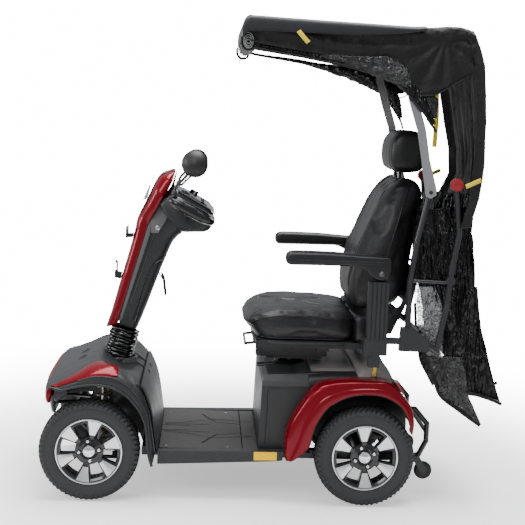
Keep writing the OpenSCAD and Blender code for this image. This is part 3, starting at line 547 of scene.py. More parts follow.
def tread(name, centre):
    """Four rows of tread blocks and a row of lugs on each shoulder, as one mesh."""
    verts, faces = [], []

    def put(r, angle, o):
        verts.append((centre[0] + r * math.cos(angle), centre[1] + o,
                      centre[2] + r * math.sin(angle)))

    pitch = 2 * math.pi / TREAD_COUNT
    rows = ((-0.0452, -0.026, 0.150, 0.1640), (-0.0225, -0.0025, TYRE_R, TYRE_R),
            (0.0025, 0.0225, TYRE_R, TYRE_R), (0.026, 0.0452, 0.1640, 0.150))
    for i, (k, (o0, o1, r0, r1)) in itertools.product(range(TREAD_COUNT), enumerate(rows)):
        middle = pitch * (i + 0.5 * (k % 2))
        width = 0.33 * pitch
        slant = width * (0.25 if k % 2 else -0.25)
        b = len(verts)
        for o, r, s in ((o0, r0, -slant), (o1, r1, slant)):
            for a, depth in itertools.product((-width, width), (0.006, 0.0)):
                put(r - depth, middle + a + s, o)
        faces += [(b + 1, b + 3, b + 7, b + 5), (b, b + 1, b + 5, b + 4),
                  (b + 2, b + 6, b + 7, b + 3), (b, b + 2, b + 3, b + 1),
                  (b + 4, b + 5, b + 7, b + 6)]
    for i, side in itertools.product(range(TREAD_COUNT), (-1, 1)):
        b = len(verts)
        for r, o in ((0.1440, 0.0466), (0.1440, 0.0484), (0.1600, 0.0444), (0.1600, 0.0389)):
            for a in (-0.26 * pitch, 0.26 * pitch):
                put(r, pitch * (i + 0.25) + a, side * o)
        faces += [(b, b + 1, b + 3, b + 2), (b + 2, b + 3, b + 5, b + 4),
                  (b + 4, b + 5, b + 7, b + 6), (b, b + 2, b + 4, b + 6),
                  (b + 1, b + 7, b + 5, b + 3)]
    blocks = new_mesh(name, verts, faces, smooth=False)
    fix_normals(blocks)
    bevel(blocks, 0.0007, 1, 30)
    return blocks


def tyre(tag, centre):
    """Tyre with rounded sidewalls, rim bead, tread blocks and shoulder lugs."""
    name = "tyre_skin_" + tag
    core = TYRE_R - 0.007
    half = [(0.1060, -0.036), (0.1085, -0.0385), (0.114, -0.0425), (0.122, -0.0462),
            (0.132, -0.0478), (0.142, -0.0476), (0.150, -0.0455), (0.1555, -0.040),
            (core, -0.030), (core + 0.001, -0.015), (core + 0.0015, 0)]
    parts = [lathe(name + "_casing", half + [(r, -o) for r, o in half[-2::-1]], centre, 120)]
    for (r, o), side in itertools.product(((0.1125, 0.0418), (0.1465, 0.0472)), (-1, 1)):
        ring = [(centre[0] + r * math.cos(a), centre[1] + side * o,
                 centre[2] + r * math.sin(a)) for a in turns(90)]
        parts.append(tube(name + "_bead", ring, 0.0012, 6, closed=True))
    obj = join(name, parts + [tread(name + "_tread", centre)])
    sharp_by_angle(obj, 40)
    done(obj, "wheel_" + tag, "tyre", ["tyre_" + tag])


def spoke(name, at, mid):
    """One of the six spokes: a black body with a machined face."""
    face, under = [], []
    for r in np.linspace(0.040, 0.1025, 14):
        f = (r - 0.040) / 0.0625
        edge = (0.0072 + 0.0205 * f ** 1.25) / r
        height = 0.0285 + 0.0095 * f ** 1.3
        wide = edge + 0.045 * (1 - 0.3 * f)
        face.append([at(r, mid + edge * k, height + crown)
                     for k, crown in ((-0.80, 0), (-0.30, 0.0012), (0.30, 0.0012), (0.80, 0))])
        half = ((wide, 0.020), (wide * 0.97, 0.0035), (edge * 0.82, 0.0004))
        under.append([at(r, mid - a, height - drop) for a, drop in half]
                     + [at(r, mid + a, height - drop) for a, drop in half[::-1]])
    top = grid(name + "_face", face[3:])
    fix_normals(top)
    thicken(top, 0.0012, 0.0)
    body = grid(name + "_spoke", under, wrap_v=True, caps=True)
    fix_normals(body)
    return [coloured(body, "rim_black"), coloured(top, "alloy")]


def wheel(tag, centre, turn):
    """Alloy wheel: dark metal barrel darkened further as painted shade, black disc,
    six machined spokes, bright lip, cap and nuts.
    """
    name = "wheel_disc_" + tag
    out = math.copysign(1, centre[1])

    def at(r, a, o):
        return (centre[0] + r * math.cos(a), centre[1] + out * o, centre[2] + r * math.sin(a))

    def turned(suffix, profile, mat, place=centre, steps=96):
        parts.append(coloured(lathe(name + suffix, profile, place, steps, out), mat))

    parts = []
    # painted shade: the barrel's metal is darker than its own colour, so the windows between spokes look
    # shaded
    turned("_barrel", [(0.0995, -0.0400), (0.1079, -0.0400), (0.1075, -0.0376),
                       (0.1056, -0.0368), (0.1056, 0.0368), (0.1075, 0.0376),
                       (0.1079, 0.0400), (0.1035, 0.0402), (0.1015, 0.0370),
                       (0.0985, 0.0300), (0.0975, 0.0), (0.0985, -0.0300),
                       (0.0995, -0.0400)], "barrel_painted_shade")
    turned("_lip", [(0.1086, 0.0395), (0.1088, 0.0412), (0.1066, 0.0420), (0.1046, 0.0414),
                    (0.1040, 0.0385), (0.1042, 0.0370)], "alloy")
    turned("_hub", [(0.0110, -0.029), (0.026, -0.029), (0.028, 0.010), (0.044, 0.0165),
                    (0.0475, 0.0215), (0.0460, 0.0262), (0.0300, 0.0290), (0.0250, 0.0262),
                    (0.0110, 0.0262)], "rim_black")
    for i in range(6):
        parts += spoke(name, at, turn + i * math.pi / 3)
    turned("_ring", [(0.0985, 0.020), (0.0925, 0.024), (0.0935, 0.033), (0.1000, 0.0375),
                     (0.1025, 0.037), (0.0985, 0.020)], "rim_black")
    turned("_cap", [(0.0205, 0.0268), (0.0205, 0.0315), (0.0185, 0.0345), (0.0150, 0.0358),
                    (0.0140, 0.0352), (0.0125, 0.0358), (0.0070, 0.0372), (0.0, 0.0376)],
           "chrome", steps=48)
    for i in range(4):
        place = at(0.033, turn + math.radians(-12) + i * math.pi / 2, 0)
        turned("_nut", [(0.0066, 0.0262), (0.0066, 0.0325), (0.0052, 0.0350),
                        (0.0030, 0.0362), (0.0, 0.0364)], "chrome", place, 6)
        turned("_nut_seat", [(0.0095, 0.0280), (0.0092, 0.0296), (0.0068, 0.0290)],
               "rim_black", place, 24)
    turned("_valve", [(0.0030, 0.012), (0.0030, 0.030), (0.0022, 0.032), (0.0, 0.032)],
           "rubber", at(0.089, turn + math.radians(270), 0), 12)
    obj = join(name, parts)
    sharp_by_angle(obj, 35)
    done(obj, "wheel_" + tag, None, ["alloy_wheel_" + tag])


def wheels():
    """All the wheels with their tyres."""
    for tag, turn in (("fl", 0.34), ("fr", 0.7), ("rl", 0.58), ("rr", 0.2)):
        centre = node_centre("tyre_" + tag)
        tyre(tag, centre)
        wheel(tag, centre, turn)


# ---------------------------------------------------------------- front cowl
COWL_STEPS = 90
COWL_TOP = smooth_line([(-0.746, 0.372), (-0.738, 0.384), (-0.698, 0.398), (-0.650, 0.418),
                        (-0.600, 0.446), (-0.555, 0.458), (-0.510, 0.457), (-0.470, 0.436),
                        (-0.436, 0.398), (-0.411, 0.345), (-0.395, 0.290), (-0.384, 0.225),
                        (-0.3765, 0.168)], COWL_STEPS)
COWL_EDGE = smooth_line([(-0.724, 0.372), (-0.720, 0.3735), (-0.713, 0.3735), (-0.700, 0.371),
                         (-0.686, 0.368), (-0.665, 0.374), (-0.638, 0.381), (-0.608, 0.387),
                         (-0.579, 0.389), (-0.552, 0.387), (-0.527, 0.382), (-0.499, 0.370),
                         (-0.471, 0.352), (-0.452, 0.331), (-0.434, 0.308), (-0.420, 0.281),
                         (-0.410, 0.250), (-0.405, 0.194), (-0.397, 0.150), (-0.388, 0.122)],
                        COWL_STEPS)


def cowl_point(u, t, side, lift=0.0):
    """Point on the cowl: u from nose to deck (0..1), t from the middle (0) to the arch (1)."""
    if lift:
        q = cowl_point(u, t, 1)
        du = cowl_point(min(1, u + 0.004), t, 1) - cowl_point(max(0, u - 0.004), t, 1)
        dt = cowl_point(u, min(1, t + 0.004), 1) - cowl_point(u, max(0, t - 0.004), 1)
        n = du.cross(dt).normalized()
        inside = Vector((-0.56, 0, 0.2))
        q += n * math.copysign(lift, n.dot(q - inside))
        return Vector((q.x, q.y * side, q.z))
    i = u * (COWL_STEPS - 1)
    k = min(int(i), COWL_STEPS - 2)
    f = i - k
    top = COWL_TOP[k] * (1 - f) + COWL_TOP[k + 1] * f
    edge = COWL_EDGE[k] * (1 - f) + COWL_EDGE[k + 1] * f
    power = 2 / 3.4
    a = t * math.pi / 2
    x, z = edge + (top - edge) * math.cos(a) ** power
    y = COWL_Y * math.sin(a) ** power
    # a saddle round the gaiter, open towards both sides
    wide = 1 - min(1.0, max(0.0, (y - 0.12) / 0.16)) ** 1.5
    z -= 0.052 * math.exp(-((x + 0.505) / 0.052) ** 2) * wide
    return Vector((x, side * y, z))


def cowl_line(t, lift, start, end, count, side):
    """Line along the cowl at one t, from u = start to u = end."""
    return [cowl_point(u, t, side, lift) for u in np.linspace(start, end, count)]


def cowl():
    """Shell with its lips and creases, and the raised panel at the rear."""
    ts = np.linspace(0, 1, 34)
    shell = grid("cowl_shell", [[cowl_point(u, t, -1) for t in ts[::-1]]
                                + [cowl_point(u, t, 1) for t in ts[1:]]
                                for u in np.linspace(0, 1, 100)])
    bm = bmesh.new()
    bm.from_mesh(shell.data)
    middles = [(f, f.calc_center_median()) for f in bm.faces]
    gaiter_hole = [f for f, m in middles
                   if m.z > 0.36 and math.hypot(m.x - STEM_X, m.y) < 0.052]
    deck_gap = [f for f, m in middles if m.z < 0.168 and abs(m.y) < 0.27]
    bmesh.ops.delete(bm, geom=gaiter_hole + deck_gap, context="FACES")
    bmesh.ops.recalc_face_normals(bm, faces=bm.faces)
    bm.to_mesh(shell.data)
    bm.free()
    thicken(shell, 0.004, -1)
    sharp_by_angle(shell, 50)
    done(shell, "base", "plastic", ["front_shroud"])
    for tag, side in SIDES:
        cord("cowl_lip_" + tag, cowl_line(1.0, 0, 0.02, 1, 90, side), 0.0045,
             "base", "plastic", 10)
        cord("cowl_crease_" + tag, cowl_line(0.865, 0.0015, 0.20, 0.93, 80, side), 0.003,
             "base", "plastic")
    rows = []
    for u in np.linspace(0.60, 0.985, 60):
        left = [cowl_point(u, t, -1, 0.0045) for t in np.linspace(0.60, 0.05, 12)]
        rows.append(left + [Vector((p.x, -p.y, p.z)) for p in left[::-1]])
    spine = grid("cowl_rear_panel", rows)
    fix_normals(spine)
    thicken(spine, 0.0045, -1)
    bevel(spine, 0.0015, 2)
    done(spine, "base", "plastic")
    for tag, side in SIDES:
        cord("cowl_seam_" + tag, cowl_line(0.635, 0.0004, 0.57, 0.99, 60, side), 0.0034,
             "base", "gloss")
    collar = lathe_z("cowl_gaiter_ring", [(0.048, -0.004), (0.056, -0.004), (0.058, 0.002),
                                          (0.054, 0.006), (0.047, 0.004)],
                     (STEM_X, 0, 0.416))
    done(collar, "base", "plastic")


def cowl_panels():
    """Painted panels on the cowl's shoulders, from t0 to t1 across it."""
    parts = []
    for _, side in SIDES:
        rows = []
        for u in np.linspace(0.035, 0.44, 52):
            t0 = ramp(u, [(0.035, 0.80), (0.10, 0.66), (0.20, 0.52), (0.345, 0.35),
                          (0.40, 0.44), (0.44, 0.56)])
            t1 = ramp(u, [(0.035, 0.86), (0.10, 0.85), (0.20, 0.835), (0.34, 0.845),
                          (0.40, 0.85), (0.44, 0.78)])
            rows.append([cowl_point(u, t, side, 0.0032) for t in np.linspace(t0, t1, 15)])
        panel = grid("cowl_panel", rows)
        fix_normals(panel)
        thicken(panel, 0.0034, -1)
        bevel(panel, 0.0012, 2, 40)
        parts.append(panel)
    obj = join("cowl_side_panels", parts)
    fix_normals(obj)
    sharp_by_angle(obj, 45)
    done(obj, "base", "paint", ["front_side_panels"])


def nose():
    """Painted bumper round the nose, the skirt below it, its stays and the arch liners."""
    half = 0.262

    def nose_x(y):
        return 0.018 * (abs(y) / half) ** 4

    outline = smooth_line([(-0.741, 0.385), (-0.749, 0.380), (-0.757, 0.352), (-0.760, 0.334),
                           (-0.758, 0.305), (-0.748, 0.296), (-0.742, 0.330), (-0.737, 0.364),
                           (-0.735, 0.380)], 30)
    rows = []
    for y in np.linspace(-half, half, 60):
        pinch = 1 - 0.30 * max(0, (abs(y) - 0.2) / 0.062) ** 2
        rows.append([(x + nose_x(y), y, 0.343 + (z - 0.343) * pinch) for x, z in outline])
    bumper = grid("bumper_bar", rows, wrap_v=True, caps=True)
    fix_normals(bumper)
    done(bumper, "base", "paint", ["front_bumper"])
    lower = smooth_line([(-0.742, 0.380), (-0.748, 0.330), (-0.750, 0.300), (-0.748, 0.268),
                         (-0.744, 0.236), (-0.735, 0.231), (-0.730, 0.245), (-0.732, 0.303),
                         (-0.730, 0.375)], 30)
    rows = []
    for y in np.linspace(-0.215, 0.215, 40):
        kept = 1 - 0.62 * max(0.0, (abs(y) - 0.10) / 0.115)
        rows.append([(x + nose_x(y), y, 0.380 - (0.380 - z) * kept) for x, z in lower])
    skirt = grid("bumper_skirt", rows, wrap_v=True, caps=True)
    fix_normals(skirt)
    done(skirt, "base", "plastic")
    for tag, side in SIDES:
        cheek = prism("nose_cheek_" + tag,
                      [(-0.708, 0.376), (-0.672, 0.370), (-0.664, 0.352), (-0.684, 0.334),
                       (-0.704, 0.318), (-0.714, 0.330)], side * 0.236, side * 0.300)
        bevel(cheek, 0.006, 3)
        done(cheek, "base", "plastic")
        cord("bumper_stay_" + tag, [(-0.735, 0.06 * side, 0.262), (-0.622, 0.034 * side, 0.262)],
             0.006, "base", "frame", 12)
        liner = grid("arch_liner_" + tag,
                     [[(p.x + 0.004, p.y, p.z - 0.004),
                       (p.x + 0.006, p.y - side * 0.10, p.z + 0.004)]
                      for p in cowl_line(0.97, 0, 0.1, 0.97, 60, side)])
        thicken(liner, 0.003, 0)
        done(liner, "base", "plastic")


def arch_shade_walls():
    """Black sheets inside the wheel arches, painted shade standing in for the dark hollows there."""
    walls = (("front_arch_shade_", 0.050, [(-0.715, 0.300), (-0.715, 0.372), (-0.640, 0.430),
                                     (-0.560, 0.425), (-0.470, 0.420), (-0.415, 0.380),
                                     (-0.395, 0.300), (-0.392, 0.170), (-0.404, 0.170),
                                     (-0.430, 0.300)]),
             ("rear_arch_shade_", 0.228, [(0.110, 0.215), (0.140, 0.330), (0.200, 0.372),
                                    (0.275, 0.392), (0.380, 0.388), (0.430, 0.350),
                                    (0.455, 0.300), (0.458, 0.215), (0.370, 0.215),
                                    (0.311, 0.240), (0.250, 0.215)]))
    for (tag, side), (name, y, outline) in itertools.product(SIDES, walls):
        # painted shade: flat black walls fill the arches where the inside lies in shade
        wall = prism(name + tag, outline, side * y, side * (y + 0.006))
        done(wall, "base", "rubber")


# ---------------------------------------------------------------- rear body
ARCH_STEPS = 80
FENDER_TOP = smooth_line([(0.049, 0.148), (0.046, 0.200), (0.049, 0.240), (0.066, 0.284),
                          (0.090, 0.326), (0.116, 0.366), (0.145, 0.397), (0.190, 0.414),
                          (0.242, 0.421), (0.310, 0.423), (0.371, 0.421), (0.401, 0.405),
                          (0.432, 0.372), (0.460, 0.336), (0.471, 0.285), (0.466, 0.242)],
                         ARCH_STEPS)
FENDER_ARCH = smooth_line([(0.071, 0.150), (0.092, 0.165), (0.124, 0.198), (0.138, 0.256),
                           (0.156, 0.295), (0.180, 0.330), (0.210, 0.352), (0.243, 0.368),
                           (0.275, 0.376), (0.308, 0.379), (0.340, 0.378), (0.373, 0.371),
                           (0.402, 0.357), (0.427, 0.336), (0.448, 0.298), (0.459, 0.258)],
                          ARCH_STEPS)
# across a fender: (y, share of the way from its top line to its arch line)
FENDER_SECTION = [(0.251, 0.0), (0.285, 0.0), (0.305, 0.01), (0.318, 0.045), (0.3255, 0.12),
                  (0.3280, 0.30), (0.3290, 0.50), (0.3298, 0.545), (0.3345, 0.60),
                  (0.3349, 0.80), (0.3345, 0.95), (0.3325, 1.0), (0.326, 1.0), (0.316, 0.985)]
SEAT_POST = (0.075, 0)
BOX_TOP = 0.418


def rear_arches():
    """Painted wheel arches with flat tops, rounded shoulders, a crease and flared edges."""
    parts = []
    for _, side in SIDES:
        rows = []
        for top, arch in zip(FENDER_TOP, FENDER_ARCH):
            drop = arch - top
            rows.append([(top[0] + drop[0] * f, side * y, top[1] + drop[1] * f)
                         for y, f in FENDER_SECTION])
        shell = grid("arch", rows)
        fix_normals(shell)
        thicken(shell, 0.0028, -1)
        subdivide(shell, 1)
        parts.append(shell)
    obj = join("rear_arches", parts)
    sharp_by_angle(obj, 60)
    done(obj, "base", "paint", ["rear_fenders"])
    axle = Vector((0.311, TYRE_R))
    for tag, side in SIDES:
        rows = []
        for x, z in FENDER_ARCH[4:78:2]:
            d = (Vector((x, z)) - axle).normalized() * 0.004
            rows.append([(x - d.x * 0.2, side * 0.328, z - d.y * 0.2),
                         (x + d.x, side * 0.29, z + d.y), (x + d.x, side * 0.240, z + d.y)])
        liner = grid("rear_liner_" + tag, rows)
        thicken(liner, 0.003, 0)
        done(liner, "base", "plastic")


def seat_box():
    """Seat box with grooves along its sides and a dish round the seat post."""
    paint_cad("battery_cover", "plastic", 0.006, 3, 25)
    for tag, side in SIDES:
        groove = [(x, side * 0.2508, z) for x, z in ((-0.018, 0.178), (-0.013, 0.300),
                                                     (-0.011, 0.372), (0.030, 0.376),
                                                     (0.150, 0.384))]
        cord("seat_box_groove_" + tag, smooth_line(groove, 40), 0.0012,
             "base", "rubber", 6)
    rim = lathe_z("post_opening_rim", [(0.0520, -0.002), (0.0560, 0.001), (0.0560, 0.0035),
                                       (0.0525, 0.0042), (0.0508, 0.002)],
                  (*SEAT_POST, BOX_TOP))
    done(rim, "base", "plastic")
    dish = lathe_z("post_opening_dish", [(0.0515, 0.0), (0.0500, -0.012), (0.034, -0.016),
                                         (0.031, -0.020), (0.030, -0.024), (0.050, -0.022)],
                   (*SEAT_POST, BOX_TOP))
    done(dish, "base", "rubber")


def rear_cover():
    """Light grey top covers behind the seat post: a low one in front and a dome."""
    low = [(0.134, 0.4235, 0.0), (0.142, 0.4262, 0.1), (0.152, 0.4300, 0.2),
           (0.172, 0.4335, 0.3), (0.220, 0.4345, 0.3), (0.266, 0.4342, 0.3),
           (0.280, 0.4310, 0.2), (0.287, 0.4255, 0.1)]
    rows = []
    for y in np.linspace(-0.200, 0.200, 60):
        d = max(0.0, abs(y) - 0.170) / 0.03
        sink = 0.03 * (1 - math.sqrt(max(0.0, 1 - d * d)))
        rows.append([(x, y, z - sink * share) for x, z, share in low])
    front = grid("rear_cover_front", rows)
    thicken(front, 0.003, -1)
    dome_line = smooth_line([(0.284, 0.4250), (0.290, 0.4400), (0.304, 0.4495),
                             (0.330, 0.4525), (0.372, 0.4460), (0.393, 0.4340),
                             (0.409, 0.4040), (0.436, 0.3640), (0.455, 0.3200),
                             (0.462, 0.2650), (0.4625, 0.2050)], 60)
    rows = []
    for v in np.linspace(-1, 1, 64):
        d = min(1.0, max(0.0, abs(v) * 0.2495 - 0.185) / 0.065)
        sink = 0.040 * (1 - math.sqrt(1 - d ** 2))
        rows.append([(x - (0 if z > 0.40 else sink * 0.4),
                      v * (0.2495 if z > 0.352 else 0.2315),
                      max(z - sink * (1.0 if z > 0.39 else 0.3), 0.2)) for x, z in dome_line])
    dome = grid("rear_cover_dome", rows)
    thicken(dome, 0.003, -1)
    obj = join("rear_cover", [front, dome])
    fix_normals(obj)
    sharp_by_angle(obj, 45)
    done(obj, "base", "grey", ["rear_top_cover"])
    for tag, side in SIDES:
        rows = [[(x, side * y, top - drop) for y, drop in ((0.190, 0.004), (0.225, 0.006),
                                                           (0.249, 0.014), (0.2515, 0.040))]
                for x, top in ((0.120, 0.4225), (0.160, 0.4270), (0.220, 0.4300),
                               (0.290, 0.4330), (0.330, 0.4300), (0.380, 0.4250),
                               (0.410, 0.4000))]
        shelf = grid("rear_shelf_" + tag, rows)
        thicken(shelf, 0.003, 0)
        subdivide(shelf, 2)
        done(shelf, "base", "plastic")
    lug = prism("freewheel_lug", [(0.328, 0.418), (0.328, 0.438), (0.333, 0.442),
                                  (0.343, 0.442), (0.348, 0.438), (0.348, 0.418)],
                -0.2535, -0.240)
    bevel(lug, 0.0015, 2)
    done(lug, "base", "grey")
    cord("freewheel_pin", [(0.338, -0.250, 0.432), (0.338, -0.2655, 0.432)], 0.003,
         "base", "steel", 12)
    for tag, y in (("a", -0.09), ("b", 0.09)):
        screw = lathe_z("cover_screw_" + tag, [(0.0, 0.0012), (0.006, 0.0012), (0.0075, 0.0),
                                               (0.006, -0.002)], (0.340, y, 0.4524), 24)
        done(screw, "base", "frame")


def deck():
    """Foot deck with side rails, reflectors, an underlay, screws and raised ribs."""
    paint_cad("floor_deck", "deck", 0.003)
    paint_cad("side_rails", "plastic", 0.004)
    paint_cad("side_reflectors", "amber", 0.001)
    under = prism("deck_underlay", [(-0.402, 0.146), (-0.402, 0.1635), (0.010, 0.1635),
                                    (0.010, 0.146)], -0.252, 0.252)
    done(under, "base", "plastic")
    for x, y in itertools.product((-0.345, -0.140), (-0.225, 0.225)):
        screw = lathe_z("deck_screw_%d_%d" % (round(-x * 1000), round(y * 1000) + 300),
                        [(0.0, 0.0005), (0.0046, 0.0005), (0.0054, -0.0006),
                         (0.0054, -0.0020)], (x, y, 0.1640), 20)
        done(screw, "base", "steel")
    ribs = ((-0.36, -0.20, 0.045, 0.052), (-0.36, -0.22, 0.060, 0.110),
            (-0.21, -0.05, 0.120, 0.090))
    for (tag, side), (row, (x0, x1, y0, y1)) in itertools.product(SIDES, enumerate(ribs)):
        line = [(x0 + (x1 - x0) * f, side * (y0 + (y1 - y0) * f * f), 0.1652)
                for f in np.linspace(0, 1, 20)]
        cord("deck_rib_%s_%d" % (tag, row), line, 0.0014, "base", "deck", 6)


def cad_parts():
    """Parts that are shown as the CAD model has them, with what is added to them."""
    paint_cad("chassis_frame front_axle rear_bumper_bar seat_base backrest_frame "
              "basket_bracket", "frame", 0.0015)
    paint_cad("tiller_post", "frame")
    paint_cad("transaxle knuckle_left knuckle_right tie_rod steering_column", "metal", 0.0012)
    paint_cad("batteries", "battery", 0.003)
    paint_cad("tail_lamps", "red_lens", 0.002)
    paint_cad("freewheel_lever", "yellow", 0.001)
    paint_cad("anti_tip_wheel_left anti_tip_wheel_right", "rubber", 0.001)
    paint_cad("headlamp", "clear_lens", 0.003)
    paint_cad("speed_dial throttle_lever brake_lever tilt_lever swivel_lever slide_lever",
              "gloss", 0.0012)
    paint_cad("key", "steel", 0.0006)
    paint_cad("seat_post", "frame", 0.0008)
    paint_cad("canopy_lower_frame", "tube", 0.002)
    paint_cad("canopy_arms", "arm", 0.001)
    paint_cad("handlebar", "grip")
    paint_cad("armrest_posts", "plastic", 0.0022)
    sleeve = lathe_z("seat_post_sleeve", [(0.0192, 0.0), (0.0196, 0.002), (0.0196, 0.118),
                                          (0.0192, 0.120)], (*SEAT_POST, 0.356), 48)
    done(sleeve, "pedestal", "chrome")
    for (tag, _), (face, out) in itertools.product(SIDES, (("in", -1), ("out", 1))):
        disc = lathe("anti_tip_disc_%s_%s" % (tag, face),
                     [(0.0, 0.0125), (0.0050, 0.0122), (0.0075, 0.0112), (0.0085, 0.0100)],
                     node_centre("anti_tip_wheel_" + tag), 40, out)
        done(disc, "tip_" + tag, "steel")


def suspension():
    """Coil springs over dampers above both axles."""
    winds = 6
    for name, mat, x, z0, z1 in (("front", "brass", -0.560, 0.190, 0.360),
                                 ("rear", "metal", 0.250, 0.200, 0.395)):
        for tag, side in SIDES:
            y = side * 0.165
            coil = [(x + 0.022 * math.cos(2 * math.pi * winds * f),
                     y + 0.022 * math.sin(2 * math.pi * winds * f), z0 + (z1 - z0) * f)
                    for f in np.linspace(0, 1, winds * 18)]
            cord("spring_%s_%s" % (name, tag), coil, 0.0042, "base", mat)
            cord("damper_%s_%s" % (name, tag), [(x, y, z0 - 0.01), (x, y, z1 + 0.01)], 0.009,
                 "base", "steel", 16)


# ---------------------------------------------------------------- tiller
TILLER_STEPS = 80
TILLER_FRONT = smooth_line([(-0.571, 0.527), (-0.554, 0.580), (-0.537, 0.644), (-0.520, 0.708),
                            (-0.498, 0.790), (-0.479, 0.866), (-0.471, 0.908),
                            (-0.444, 0.966), (-0.404, 1.050), (-0.376, 1.068),
                            (-0.349, 1.077)], TILLER_STEPS)
TILLER_MID = smooth_line([(-0.528, 0.540), (-0.521, 0.575), (-0.502, 0.644), (-0.483, 0.711),
                          (-0.463, 0.780), (-0.447, 0.835), (-0.433, 0.885),
                          (-0.407, 0.938), (-0.381, 0.990), (-0.362, 1.020),
                          (-0.347, 1.066)], TILLER_STEPS)
TILLER_REAR = smooth_line([(-0.468, 0.522), (-0.452, 0.560), (-0.431, 0.617), (-0.414, 0.666),
                           (-0.397, 0.714), (-0.375, 0.772), (-0.353, 0.826),
                           (-0.335, 0.850), (-0.319, 0.868), (-0.345, 0.905),
                           (-0.372, 0.945)], TILLER_STEPS)


def tiller_cover(name, spine, joint, widths, power, mat, node):
    """Half shell from the joint line on one side, over the spine, to the other side."""
    rows = []
    for k, (a, b) in enumerate(zip(spine, joint)):
        w = ramp(k / (TILLER_STEPS - 1), widths)
        row = []
        for s in np.linspace(-1, 1, 37):
            angle = abs(s) * math.pi / 2
            across = math.sin(angle) ** (2 / power)
            p = a + (b - a) * (1 - math.cos(angle) ** (2 / power))
            row.append((p[0], math.copysign(w * across, s), p[1]))
        rows.append(row)
    obj = grid(name, rows)
    thicken(obj, 0.004, -1)
    fix_normals(obj)
    sharp_by_angle(obj, 50)
    done(obj, "tiller", mat, [node])


def tiller_cheek(tag, side):
    """Grey side cheek between the painted front and the dark rear cover."""
    rows = []
    for k in range(2, 70):
        m = TILLER_MID[k]
        a = m + (TILLER_FRONT[k] - m) * 0.10
        b = m + (TILLER_REAR[k] - m) * 0.17
        c = a * 0.7 + b * 0.3
        y = ramp(k / (TILLER_STEPS - 1), [(0, 0.056), (0.1, 0.0645), (0.55, 0.0725),
                                          (0.75, 0.0765), (0.9, 0.078)])
        rows.append([(a[0], side * (y - 0.004), a[1]), (c[0], side * y, c[1]),
                     (b[0], side * y, b[1]), (b[0] + 0.003, side * (y - 0.012), b[1])])
    cheek = grid("tiller_cheek_" + tag, rows)
    fix_normals(cheek)
    thicken(cheek, 0.002, 0)
    done(cheek, "tiller", "band_grey")


def tiller_groove(tag, side):
    """Glossy inlay behind the cheek."""
    rows = []
    for k in range(2, 66):
        y = side * ramp(k / (TILLER_STEPS - 1), [(0, 0.0535), (0.1, 0.0620), (0.55, 0.0695),
                                                 (0.75, 0.0730), (0.9, 0.073)])
        row = []
        for f in (0.13, 0.22, 0.30, 0.36):
            p = TILLER_MID[k] + (TILLER_REAR[k] - TILLER_MID[k]) * f
            row.append((p[0], y, p[1]))
        rows.append(row)
    groove = grid("tiller_groove_" + tag, rows)
    thicken(groove, 0.003, 0)
    done(groove, "tiller", "gloss")


def tiller():
    """Painted front cover, dark rear cover, and the trim along their joint."""
    tiller_cover("tiller_front_skin", TILLER_FRONT, TILLER_MID,
                 [(0, 0.060), (0.1, 0.070), (0.55, 0.076), (0.66, 0.078), (0.74, 0.100),
                  (0.84, 0.122), (0.95, 0.116), (1, 0.085)], 3.0,
                 "paint", "tiller_front_cover")
    tiller_cover("tiller_rear_skin", TILLER_REAR, TILLER_MID + np.array([0.003, 0.0]),
                 [(0, 0.052), (0.1, 0.060), (0.55, 0.066), (0.75, 0.070), (1, 0.068)], 3.6,
                 "plastic", "tiller_rear_cover")
    for tag, side in SIDES:
        tiller_cheek(tag, side)
        tiller_groove(tag, side)
        bend = [TILLER_MID[k] + (TILLER_REAR[k] - TILLER_MID[k]) * f for k, f in
                ((4, 0.80), (14, 0.72), (24, 0.66), (33, 0.66), (39, 0.76), (44, 0.97))]
        cord("tiller_crease_" + tag, smooth_line([(x, side * 0.0655, z) for x, z in bend], 50),
             0.0022, "tiller", "gloss")
        bolt = lathe("tiller_bolt_" + tag, [(0.0, 0.0030), (0.006, 0.0030), (0.0085, 0.0020),
                                            (0.0095, 0.0)],
                     (-0.398, side * 0.0785, 0.880), steps=24, flip=side)
        done(bolt, "tiller", "steel")
        plate = prism("head_bracket_" + tag, [(-0.420, 0.862), (-0.396, 0.862), (-0.372, 0.905),
                                              (-0.352, 0.950), (-0.360, 0.985),
                                              (-0.392, 0.960), (-0.424, 0.905)],
                      side * 0.0765, side * 0.0805)
        bevel(plate, 0.0015, 2)
        done(plate, "tiller", "band_grey")
    for tag, side in SIDES:
        trim = [(p[0] + 0.004, side * ramp(i / 26, [(0, 0.050), (0.4, 0.082), (1, 0.060)]), p[1])
                for i, p in enumerate(TILLER_FRONT[52:79])]
        cord("head_trim_" + tag, trim, 0.0022, "tiller", "gloss")
    label = prism("tiller_label", [(-0.3905, 0.742), (-0.3885, 0.742), (-0.3785, 0.768),
                                   (-0.3805, 0.768)], -0.012, 0.012)
    done(label, "tiller", "grey")


def gaiter():
    """Ribbed rubber gaiter between the column and the tiller."""
    axis = Vector((math.sin(LEAN), 0, math.cos(LEAN)))
    ahead = Vector((math.cos(LEAN), 0, -math.sin(LEAN)))
    ribs = 11
    rings = []
    for i in range(ribs * 8 + 1):
        f = i / (ribs * 8)
        s = -0.066 + 0.138 * f
        wave = abs(math.sin(math.pi * ribs * f)) ** 0.7
        r = 0.0415 + 0.0085 * wave
        ring = []
        for a in turns(56):
            wob = 1 + 0.020 * math.sin(2 * a + 19 * f) + 0.012 * math.sin(5 * a + 31 * f)
            c = TILT_PIVOT + axis * (s + 0.0022 * math.sin(a + 23 * f)
                                     + 0.0012 * math.sin(3 * a + 41 * f))
            ring.append(c + ahead * (r * wob * math.cos(a))
                        + Vector((0, r * wob * math.sin(a), 0)))
        rings.append(ring)
    obj = grid("gaiter", rings, wrap_v=True)
    thicken(obj, 0.0015, -1)
    apply_modifiers(obj)
    fix_normals(obj)
    obj.data.shade_smooth()
    coloured(obj, "gloss")
    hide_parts("tiller_bellows")
    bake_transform(obj)


